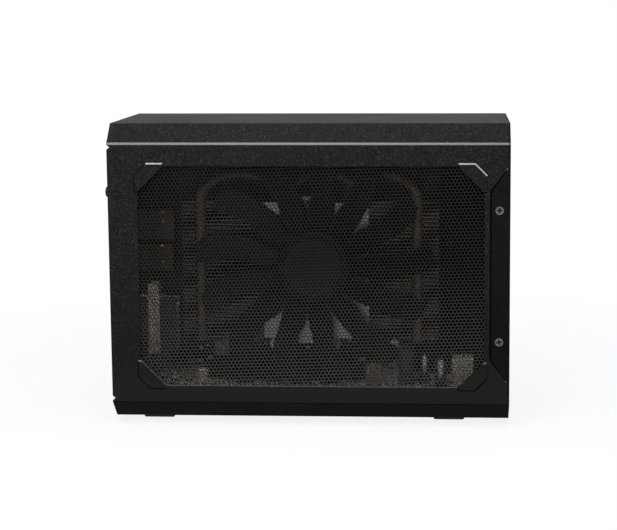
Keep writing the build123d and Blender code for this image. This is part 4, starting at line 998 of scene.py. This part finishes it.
class ENCLOSURE_OT_cooler_fan(bpy.types.Operator):
    """Makes the fan of the card: a hub and thirteen swept blades"""

    bl_idname = "enclosure.cooler_fan"
    bl_label = "Cooler fan"

    def execute(self, context):
        blades, first_turn = 13, 3.6
        joint = next(entry for entry in frame["joints"] if entry["child"] == "cooler_fan")
        axis_x, axis_z = joint["pos_m"][0] / MM, joint["pos_m"][2] / MM
        form = Form()
        fan_hub(form, axis_x, axis_z, box("fan_rotor")[1].y)
        for blade in range(blades):
            turn = math.radians(first_turn + blade * 360 / blades)
            fan_blade(form, context.scene.enclosure_fan, axis_x, axis_z, turn)
        looks = ["fan_plastic", "hub_disc"]
        form.make("cooler_fan_rotor", looks, "cooler_fan", ["fan_rotor"], 40.0)
        return {"FINISHED"}


pipe_radius = 3.0
# X of the inner and the outer leg of each heat pipe
pipe_legs = {
    "heat_pipe_rear": (-19.5, -59.0),
    "heat_pipe_middle": (-12.0, 29.0),
    "heat_pipe_front": (19.0, 58.0),
}


def pipe_seat(x, y, level, radius, first, last):
    """A round seat for a pipe in an edge at a given level, between two angles in degrees."""
    turns = [math.radians(first + (last - first) * i / 10) for i in range(11)]
    round_part = [(x + radius * math.cos(turn), y + radius * math.sin(turn)) for turn in turns]
    out = math.copysign(radius, math.cos(turns[0]))
    return [(x + out, level)] + round_part + [(x - out, level)]


def fin_plates(cooler):
    """The fins, cut out round the outer legs of the pipes, and the plate at their back."""
    low, high = box("fin_stack")
    sheet = cooler.sheet / MM
    root, cut = high.y - 3.6, 0.5
    outline = [(low.x, root), (low.x, low.y + cut), (low.x + cut, low.y)]
    for _, outer in pipe_legs.values():
        outline += pipe_seat(outer, low.y + pipe_radius, low.y, pipe_radius + 0.1, 180, 0)
    outline += [(high.x - cut, low.y), (high.x, low.y + cut), (high.x, root)]
    form = Form()
    step = (high.z - low.z - sheet) / (cooler.fins - 1)
    for number in range(cooler.fins):
        level = low.z + number * step
        form.prism(outline, level, level + sheet)
    back = [(low.x, high.y), (low.x, root), (high.x, root), (high.x, high.y)]
    for inner, _ in reversed(pipe_legs.values()):
        back += pipe_seat(inner, high.y, high.y, pipe_radius + 0.05, 0, -180)
    form.prism(back, low.z, high.z)
    form.make("fin_plates", ["fin_aluminium"], "case", ["fin_stack"])


def heat_pipes():
    """Three pipes: an inner leg, an arch over the fins and an outer leg."""
    low, high = box("fin_stack")
    inner_foot, outer_foot, leg_top = 47.5, 43.1, 80.0
    arch, rise, steps = 132.9, 13.5, 24
    up = Vector((0, 0, 1))
    for node, (inner, outer) in pipe_legs.items():
        start = Vector((inner, high.y, 0))
        end = Vector((outer, low.y + pipe_radius, 0))
        along = (end - start).normalized()
        half = (end - start).length / 2
        path = [start + up * inner_foot, start + up * leg_top]
        for step in range(steps + 1):
            angle = math.pi * step / steps
            spot = (start + end) / 2 - along * half * math.cos(angle)
            path.append(spot + up * (arch - rise + rise * math.sin(angle)))
        path += [end + up * leg_top, end + up * outer_foot]
        form = Form()
        form.tube(path, pipe_radius - 0.02, along.cross(up), 24)
        form.make(node + "_tube", ["pipe_copper"], "case", [node], 50.0)


def mount_tongues():
    """The bent tongue below the fan mount plate, and the tongue above it with its screw."""
    low, high = box("fan_mount")
    front, thick, lap = low.y, 0.7, 0.4
    form = Form()
    lower = [(front, low.z + lap), (front, low.z - 2.4), (front + 3.4, low.z - 5.1)]
    form.sheet(lower, thick, -6.2, 2.0)
    form.sheet([(front, high.z + 3.2), (front, high.z - lap)], thick, -4.4, 3.0)
    # The cross recess of the steel screw is black: painted shade.
    head(form, (-0.7, front, high.z - lap), (0, -1, 0), 2.9, 0.5, 0.4, 0.4, flat=True, kind=1, inside=2)
    form.make("mount_tongues", ["bright_aluminium", "screw_steel", "small_black"], "case")


class ENCLOSURE_OT_cooler(bpy.types.Operator):
    """Makes the fin stack, the heat pipes and the tongues of the fan mount"""

    bl_idname = "enclosure.cooler"
    bl_label = "Fins and heat pipes"

    def execute(self, context):
        fin_plates(context.scene.enclosure_cooler)
        heat_pipes()
        mount_tongues()
        return {"FINISHED"}


def board_cans():
    """Upright capacitors with a groove near the foot and a bare, sunken top; large ones have a sleeve."""
    sleeve, bare = 0, 1
    form = Form()
    for low, high in solid_boxes("board_capacitors"):
        radius = (high.x - low.x) / 2
        waist, rim = radius * 0.93, radius * 0.82
        foot, top = low.z, high.z
        centre = ((low.x + high.x) / 2, (low.y + high.y) / 2, 0)
        side = [
            (0, foot), (radius * 0.9, foot), (radius, foot + 0.4), (radius, foot + 1.6), (waist, foot + 2.0),
            (waist, foot + 2.4), (radius, foot + 2.8), (radius, top - 0.6), (radius * 0.94, top - 0.15),
            (rim, top - 0.1),
        ]
        form.lathe(side, centre, "Z", 40, sleeve if radius > 4 else bare)
        form.lathe([(rim, top - 0.1), (radius * 0.78, top - 0.3), (0, top - 0.3)], centre, "Z", 40, bare)
    looks = ["can_sleeve", "capacitor_can"]
    form.make("board_capacitor_cans", looks, "case", ["board_capacitors"])


def header_blocks():
    """The tan pin header with its raised middle and two pins, and the pale blocks."""
    tan, pale = 0, 1
    pin_y, pin = -26.6, 0.4
    form = Form()
    for low, high in solid_boxes("board_headers"):
        if low.x > 0:
            middle, shelf = (low.x + high.x) / 2, low.z + 9.0
            foot = shelf - 0.5
            form.block(low, (high.x, high.y, shelf), 0.4, tan)
            form.block((middle - 3.0, low.y + 0.8, foot), (middle + 3.0, high.y - 0.8, high.z), 0.4, tan)
            for x in (middle - 4.4, middle + 4.4):
                form.block((x - pin, pin_y - pin, foot), (x + pin, pin_y + pin, shelf + 2.5), 0.1, pale)
        else:
            inset = 0.7
            form.block(low, (high.x, high.y, low.z + 1.0), 0.3, pale)
            start = (low.x + inset, low.y + inset, low.z + 0.8)
            form.block(start, (high.x - inset, high.y - inset, high.z), 0.9, pale)
    form.make("board_header_blocks", ["tan_plastic", "solder"], "case", ["board_headers"])


def board_small_parts(wanted):
    """Solder points along the card slot, and small parts: tall ones near the window, then the rest."""
    low, high = box("docking_board")
    slot_low, slot_high = box("card_slot")
    fixed = (
        "card_slot", "data_ports", "link_port", "board_capacitors", "board_chokes", "board_heatsink",
        "board_headers", "board_power_socket", "board_screws",
    )
    taken = footprints(fixed, 0, 1)
    rng = random.Random(11)
    solder_pitch = 1.3
    form = Form()
    put = on_board(form, high.z)
    for row in (-1.0, -2.2):
        x = slot_low.x + 1
        while x < slot_high.x - 1:
            solder_point(put, x, slot_low.y + row)
            x += solder_pitch
    taken.append((slot_low.x, slot_low.y - 3, slot_high.x, slot_low.y))
    near = (low.x + 26, low.y + 2, high.x - 4, low.y + 15)
    front = (low.x + 3, low.y + 10, high.x - 3, slot_low.y - 0.6)
    rest = (low.x + 3, low.y + 2, high.x - 3, high.y - 2)
    scatter(put, near, taken, wanted // 2, rng, ("tantalum", "array", "array", "bead", "bead"))
    scatter(put, front, taken, wanted, rng)
    scatter(put, rest, taken, wanted // 3, rng)
    form.make("board_small_parts", small_looks, "case")


class ENCLOSURE_OT_board_parts(bpy.types.Operator):
    """Makes the capacitors, the headers and the small soldered parts of the docking board"""

    bl_idname = "enclosure.board_parts"
    bl_label = "Docking board parts"

    def execute(self, context):
        board_cans()
        header_blocks()
        board_small_parts(context.scene.enclosure_boards.small_parts)
        return {"FINISHED"}


def card_cans():
    """Capacitors that lie out from the card, with a groove near the foot."""
    form = Form()
    for low, high in solid_boxes("card_capacitors"):
        radius = (high.x - low.x) / 2
        front, back = low.y, high.y
        profile = [
            (0, back), (radius * 0.95, back), (radius, back - 0.3), (radius, back - 1.2),
            (radius * 0.92, back - 1.6), (radius, back - 2.0), (radius, front + 0.5),
            (radius * 0.9, front + 0.05), (radius * 0.6, front), (0, front),
        ]
        form.lathe(profile, ((low.x + high.x) / 2, 0, (low.z + high.z) / 2), "Y", 36)
    form.make("card_capacitor_cans", ["capacitor_can"], "case", ["card_capacitors"])


def card_small_parts():
    """Small soldered parts on the near face of the card, below the cooler."""
    low, high = box("card_board")
    parts_low, parts_high = box("card_slot")[1].z + 5, 74.0
    behind_sockets = (-92.5, 30.0, -72.0, 72.0)
    fixed = (
        "graphics_chip", "memory_chips", "card_chokes", "card_capacitors", "video_socket_upper",
        "video_socket_middle", "video_socket_lower", "video_socket_body", "card_power_socket", "cooler_base",
        "card_bracket", "card_slot",
    )
    taken = footprints(fixed, 0, 2) + [behind_sockets]
    form = Form()
    area = (low.x + 4, parts_low, high.x - 2, parts_high)
    scatter(on_card(form, low.y), area, taken, 60, random.Random(23), ("ceramic", "resistor", "regulator"))
    form.make("card_small_parts", small_looks, "case")


def socket_springs():
    """Springs, a rear rib and gilt studs on the two flat video sockets."""
    metal, gilt = 0, 1
    spring_z, spring_half = 4.4, 1.1
    form = Form()
    for node, studs in (("video_socket_upper", (7.0, 2.0)), ("video_socket_middle", (6.8, -2.4))):
        low, high = box(node)
        face, sunk = low.y, low.y + 0.1
        middle = (low.z + high.z) / 2
        for z in (middle - spring_z, middle + spring_z):
            start = (low.x + 6, face - 0.22, z - spring_half)
            form.block(start, (low.x + 16, sunk, z + spring_half), 0.2, metal)
        start = (high.x - 2.2, face - 0.25, low.z + 0.8)
        form.block(start, (high.x - 1.2, sunk, high.z - 0.8), 0.12, metal)
        stud = [
            (0, face - 0.45), (0.45, face - 0.4), (0.75, face - 0.15), (0.8, face + 0.05), (0, face + 0.05),
        ]
        for rise in studs:
            form.lathe(stud, (high.x - 6.0, 0, middle + rise), "Y", 16, gilt)
    form.make("socket_springs", ["socket_metal", "gold"], "case")


def wide_socket_parts():
    """The pale end, the dark cover and its ribs on the body of the wide video socket."""
    pale, dark, metal = 0, 1, 2
    ribs, rib_pitch, rib_half = 14, 2.2, 0.35
    form = Form()
    low, high = box("video_socket_body")
    form.block((low.x + 0.1, low.y, high.z - 0.1), (low.x + 6.3, high.y - 0.1, high.z + 7.0), 0.5, pale)
    form.block((low.x + 6.4, low.y - 0.3, low.z), (high.x + 0.1, low.y + 0.1, high.z), 0.1, dark)
    for rib in range(ribs):
        level = low.z + 1.6 + rib * rib_pitch
        start = (low.x + 6.9, low.y - 0.6, level - rib_half)
        form.block(start, (high.x - 0.6, low.y - 0.2, level + rib_half), 0.12, metal)
    low, high = box("video_socket_lower")
    start = (low.x + 1.6, low.y - 0.25, low.z + 0.4)
    form.block(start, (high.x - 0.1, low.y + 0.1, high.z - 0.4), 0.1, metal)
    form.make("wide_socket_parts", ["cream_plastic", "choke_body", "socket_metal"], "case")


class ENCLOSURE_OT_card_parts(bpy.types.Operator):
    """Makes the capacitors, the small soldered parts and the socket details of the card"""

    bl_idname = "enclosure.card_parts"
    bl_label = "Card parts"

    def execute(self, context):
        card_cans()
        card_small_parts()
        socket_springs()
        wide_socket_parts()
        return {"FINISHED"}


class ENCLOSURE_OT_rear_contacts(bpy.types.Operator):
    """Makes the contacts, tongues and backs of the ports, sockets and mains inlet at the rear"""

    bl_idname = "enclosure.rear_contacts"
    bl_label = "Rear contacts"

    def execute(self, context):
        gilt, steel, black, white = range(4)
        form = Form()

        def middle_of(low, high):
            return low.x, (low.y + high.y) / 2, (low.z + high.z) / 2

        # Tongue, back and contacts of each data port
        for low, high in solid_boxes("data_ports"):
            x, y, _ = middle_of(low, high)
            for share in (0.26, 0.74):
                z = low.z + share * (high.z - low.z)
                form.bar((x + 0.5, x + 8.8), (y, z + 0.9), (5.7, 1.0), 0.2, black)
                form.bar((x + 8.6, x + 8.95), (y, z), (6.4, 2.5), 0.1, black)
                for lane in (-3.5, -1.0, 1.0, 3.5):
                    form.bar((x + 1.0, x + 8.5), (y + lane, z - 0.175), (0.5, 0.125), 0.06, gilt)
        # Two rows of contacts in each flat video socket
        for node, half, lanes in (("video_socket_upper", 4.6, 9), ("video_socket_middle", 4.0, 8)):
            x, y, z = middle_of(*box(node))
            for lane in range(lanes):
                level = z + (lane - (lanes - 1) / 2) * 2 * half / lanes
                for side in (-0.685, 0.685):
                    form.bar((x + 1.7, x + 9.5), (y + side, level), (0.135, 0.25), 0.05, gilt)
        # Tongue and back of the link port
        x, y, z = middle_of(*box("link_port"))
        form.bar((x - 0.06, x + 7.2), (y, z), (3.3, 0.45), 0.1, black)
        form.bar((x + 6.9, x + 7.25), (y, z), (3.4, 1.25), 0.1, black)
        # Core and back of the wide video socket, and black patches on its face: painted shade for the mouths of
        # its contacts
        low, high = box("video_socket_lower")
        x, y, z = middle_of(low, high)
        half_y, half_z = (high.y - low.y) / 2, (high.z - low.z) / 2
        form.bar((x + 0.55, x + 6.9), (y, z), (half_y - 2.8, half_z - 2.8), 0.25, white)
        form.bar((x + 6.5, x + 6.95), (y, z), (half_y - 1.0, half_z - 1.0), 0.1, black)
        mouths = [(1.4 * line, 1.9 * lane - 2.9, 0.42, 0.42) for line in (-1, 0, 1) for lane in range(9)]
        mouths.append((0, -9.0, 0.3, 2.8))
        mouths += [(across, up, 0.4, 0.4) for up in (-7.3, -10.7) for across in (-1.3, 1.3)]
        for across, up, wide, tall in mouths:
            form.bar((x + 0.5, x + 0.7), (y + across, z + up), (wide, tall), 0.03, black)
        # Prongs of the mains inlet
        x, y, z = middle_of(*box("power_inlet"))
        for across, up in ((-7.0, -1.5), (0.0, 1.5), (7.0, -1.5)):
            form.bar((x + 2.3, x + 15.8), (y + across, z + up), (1.06, 2.06), 0.35, steel)
        looks = ["gold", "port_steel", "small_black", "white_plastic"]
        form.make("rear_contact_strips", looks, "case")
        return {"FINISHED"}


def seen_rays(tree):
    """One for rays from the camera, mirrored rays and rays through glass, else nought."""
    path = tree.nodes.new("ShaderNodeLightPath").outputs
    seen = calculation(tree, "MAXIMUM", path["Is Camera Ray"], path["Is Glossy Ray"])
    return calculation(tree, "MAXIMUM", seen, path["Is Transmission Ray"])


def pale_floor(scene):
    """A wide pale floor that turns to plain white away from the enclosure."""
    radius = 6.0
    white_from, white_at, least_white = 0.1, 0.42, 0.86
    work = bmesh.new()
    bmesh.ops.create_circle(work, cap_ends=True, cap_tris=False, segments=64, radius=radius)
    mesh = bpy.data.meshes.new("floor")
    work.to_mesh(mesh)
    work.free()
    floor = bpy.data.objects.new("floor", mesh)
    scene.collection.objects.link(floor)
    tree, shader, place = new_finish("pale_floor")
    grey = (0.8, 0.8, 0.8, 1.0)
    set_inputs(tree, shader, {"Base Color": grey, "Roughness": 0.9, "Specular IOR Level": 0.0})
    white = new_node(tree, "ShaderNodeEmission", {"Strength": 1.0})
    reach = new_node(tree, "ShaderNodeVectorMath", {0: place}, operation="LENGTH").outputs["Value"]
    share = spread(tree, reach, white_from, white_at, least_white, 1.0, interpolation_type="SMOOTHSTEP")
    share = calculation(tree, "MULTIPLY", seen_rays(tree), share)
    both = new_node(tree, "ShaderNodeMixShader", {0: share, 1: shader.outputs[0], 2: white.outputs[0]})
    set_inputs(tree, tree.nodes["Material Output"], {"Surface": both.outputs[0]})
    mesh.materials.append(finishes["pale_floor"])


def surround(scene, level):
    """Even light from all sides, which looks plain white itself."""
    world = bpy.data.worlds.new("surround")
    scene.world = world
    world.use_nodes = True
    tree = world.node_tree
    white = (1.0, 1.0, 1.0, 1.0)
    plain = tree.nodes["Background"]
    set_inputs(tree, plain, {"Color": white, "Strength": level})
    bright = new_node(tree, "ShaderNodeBackground", {"Color": white, "Strength": 1.0})
    inputs = {0: seen_rays(tree), 1: plain.outputs[0], 2: bright.outputs[0]}
    both = new_node(tree, "ShaderNodeMixShader", inputs)
    set_inputs(tree, tree.nodes["World Output"], {"Surface": both.outputs[0]})


def area_lamp(name, place, aim, power, width, depth):
    """A soft lamp that faces a point."""
    lamp = bpy.data.lights.new(name, "AREA")
    lamp.shape = "RECTANGLE"
    lamp.size = width
    lamp.size_y = depth
    lamp.energy = power
    holder = bpy.data.objects.new(name, lamp)
    holder.location = place
    holder.rotation_euler = (Vector(aim) - Vector(place)).to_track_quat("-Z", "Y").to_euler()
    bpy.context.scene.collection.objects.link(holder)


def set_camera(scene):
    """The camera in front of the photographed side, a little above and to the right."""
    place = (0.07778, -0.83283, 0.22187)
    yaw, pitch, roll = 0.04779, -0.12394, -0.00385
    right = Vector((math.cos(yaw), math.sin(yaw), 0))
    level = Vector((-math.sin(yaw), math.cos(yaw), 0))
    ahead = level * math.cos(pitch) + Vector((0, 0, math.sin(pitch)))
    up = level * -math.sin(pitch) + Vector((0, 0, math.cos(pitch)))
    across = right * math.cos(roll) + up * math.sin(roll)
    rise = up * math.cos(roll) - right * math.sin(roll)
    camera = bpy.data.cameras.new("camera")
    camera.sensor_width = 36.0
    camera.lens = 88.38
    camera.shift_x = -0.12
    camera.shift_y = -0.11
    camera.clip_end = 50.0
    holder = bpy.data.objects.new("camera", camera)
    turn = Matrix((across, rise, -ahead)).transposed().to_4x4()
    holder.matrix_world = Matrix.Translation(place) @ turn
    scene.collection.objects.link(holder)
    scene.camera = holder


class ENCLOSURE_OT_stage(bpy.types.Operator):
    """Makes the floor, the lamps, the surround and the camera"""

    bl_idname = "enclosure.stage"
    bl_label = "Studio and camera"

    def execute(self, context):
        scene = context.scene
        studio = scene.enclosure_studio
        pale_floor(scene)
        surround(scene, studio.surround)
        area_lamp("top_lamp", (0.1, 0.0, 1.3), (0, 0, 0.1), studio.top_light, 1.2, 1.0)
        area_lamp("front_lamp", (-0.06, -0.31, 0.41), (0, -0.05, 0.12), studio.front_light, 0.5, 0.2)
        area_lamp("side_lamp", (1.1, -0.5, 0.9), (0, 0, 0.08), studio.side_light, 0.7, 0.7)
        set_camera(scene)
        scene.view_settings.view_transform = "Standard"
        return {"FINISHED"}


class ENCLOSURE_PT_pieces(bpy.types.Panel):
    """Lists the pieces of the enclosure"""

    bl_idname = "ENCLOSURE_PT_pieces"
    bl_label = "Graphics card enclosure"
    bl_space_type = "VIEW_3D"
    bl_region_type = "UI"
    bl_category = "Enclosure"

    def draw(self, context):
        layout = self.layout
        for group, group_name in groups.items():
            values = getattr(context.scene, group_name)
            column = layout.box().column()
            column.label(text=group.__doc__)
            for name in group.__annotations__:
                column.prop(values, name)
        for operator in operators:
            layout.operator(operator.bl_idname)


groups = {
    CasePaint: "enclosure_paint",
    SideMesh: "enclosure_mesh",
    CoolerFan: "enclosure_fan",
    Cooler: "enclosure_cooler",
    Boards: "enclosure_boards",
    Studio: "enclosure_studio",
}
operators = (
    ENCLOSURE_OT_finishes,
    ENCLOSURE_OT_side_plates,
    ENCLOSURE_OT_screws,
    ENCLOSURE_OT_cooler_fan,
    ENCLOSURE_OT_cooler,
    ENCLOSURE_OT_board_parts,
    ENCLOSURE_OT_card_parts,
    ENCLOSURE_OT_rear_contacts,
    ENCLOSURE_OT_stage,
)


def register():
    for group, name in groups.items():
        bpy.utils.register_class(group)
        setattr(bpy.types.Scene, name, bpy.props.PointerProperty(type=group))
    for operator in operators:
        bpy.utils.register_class(operator)
    bpy.utils.register_class(ENCLOSURE_PT_pieces)


def unregister():
    bpy.utils.unregister_class(ENCLOSURE_PT_pieces)
    for operator in reversed(operators):
        bpy.utils.unregister_class(operator)
    for group, name in reversed(groups.items()):
        delattr(bpy.types.Scene, name)
        bpy.utils.unregister_class(group)


def main():
    register()
    bpy.ops.enclosure.finishes()
    bpy.ops.enclosure.side_plates()
    bpy.ops.enclosure.screws()
    bpy.ops.enclosure.cooler_fan()
    bpy.ops.enclosure.cooler()
    bpy.ops.enclosure.board_parts()
    bpy.ops.enclosure.card_parts()
    bpy.ops.enclosure.rear_contacts()
    bpy.ops.enclosure.stage()


if __name__ == "__main__":
    main()
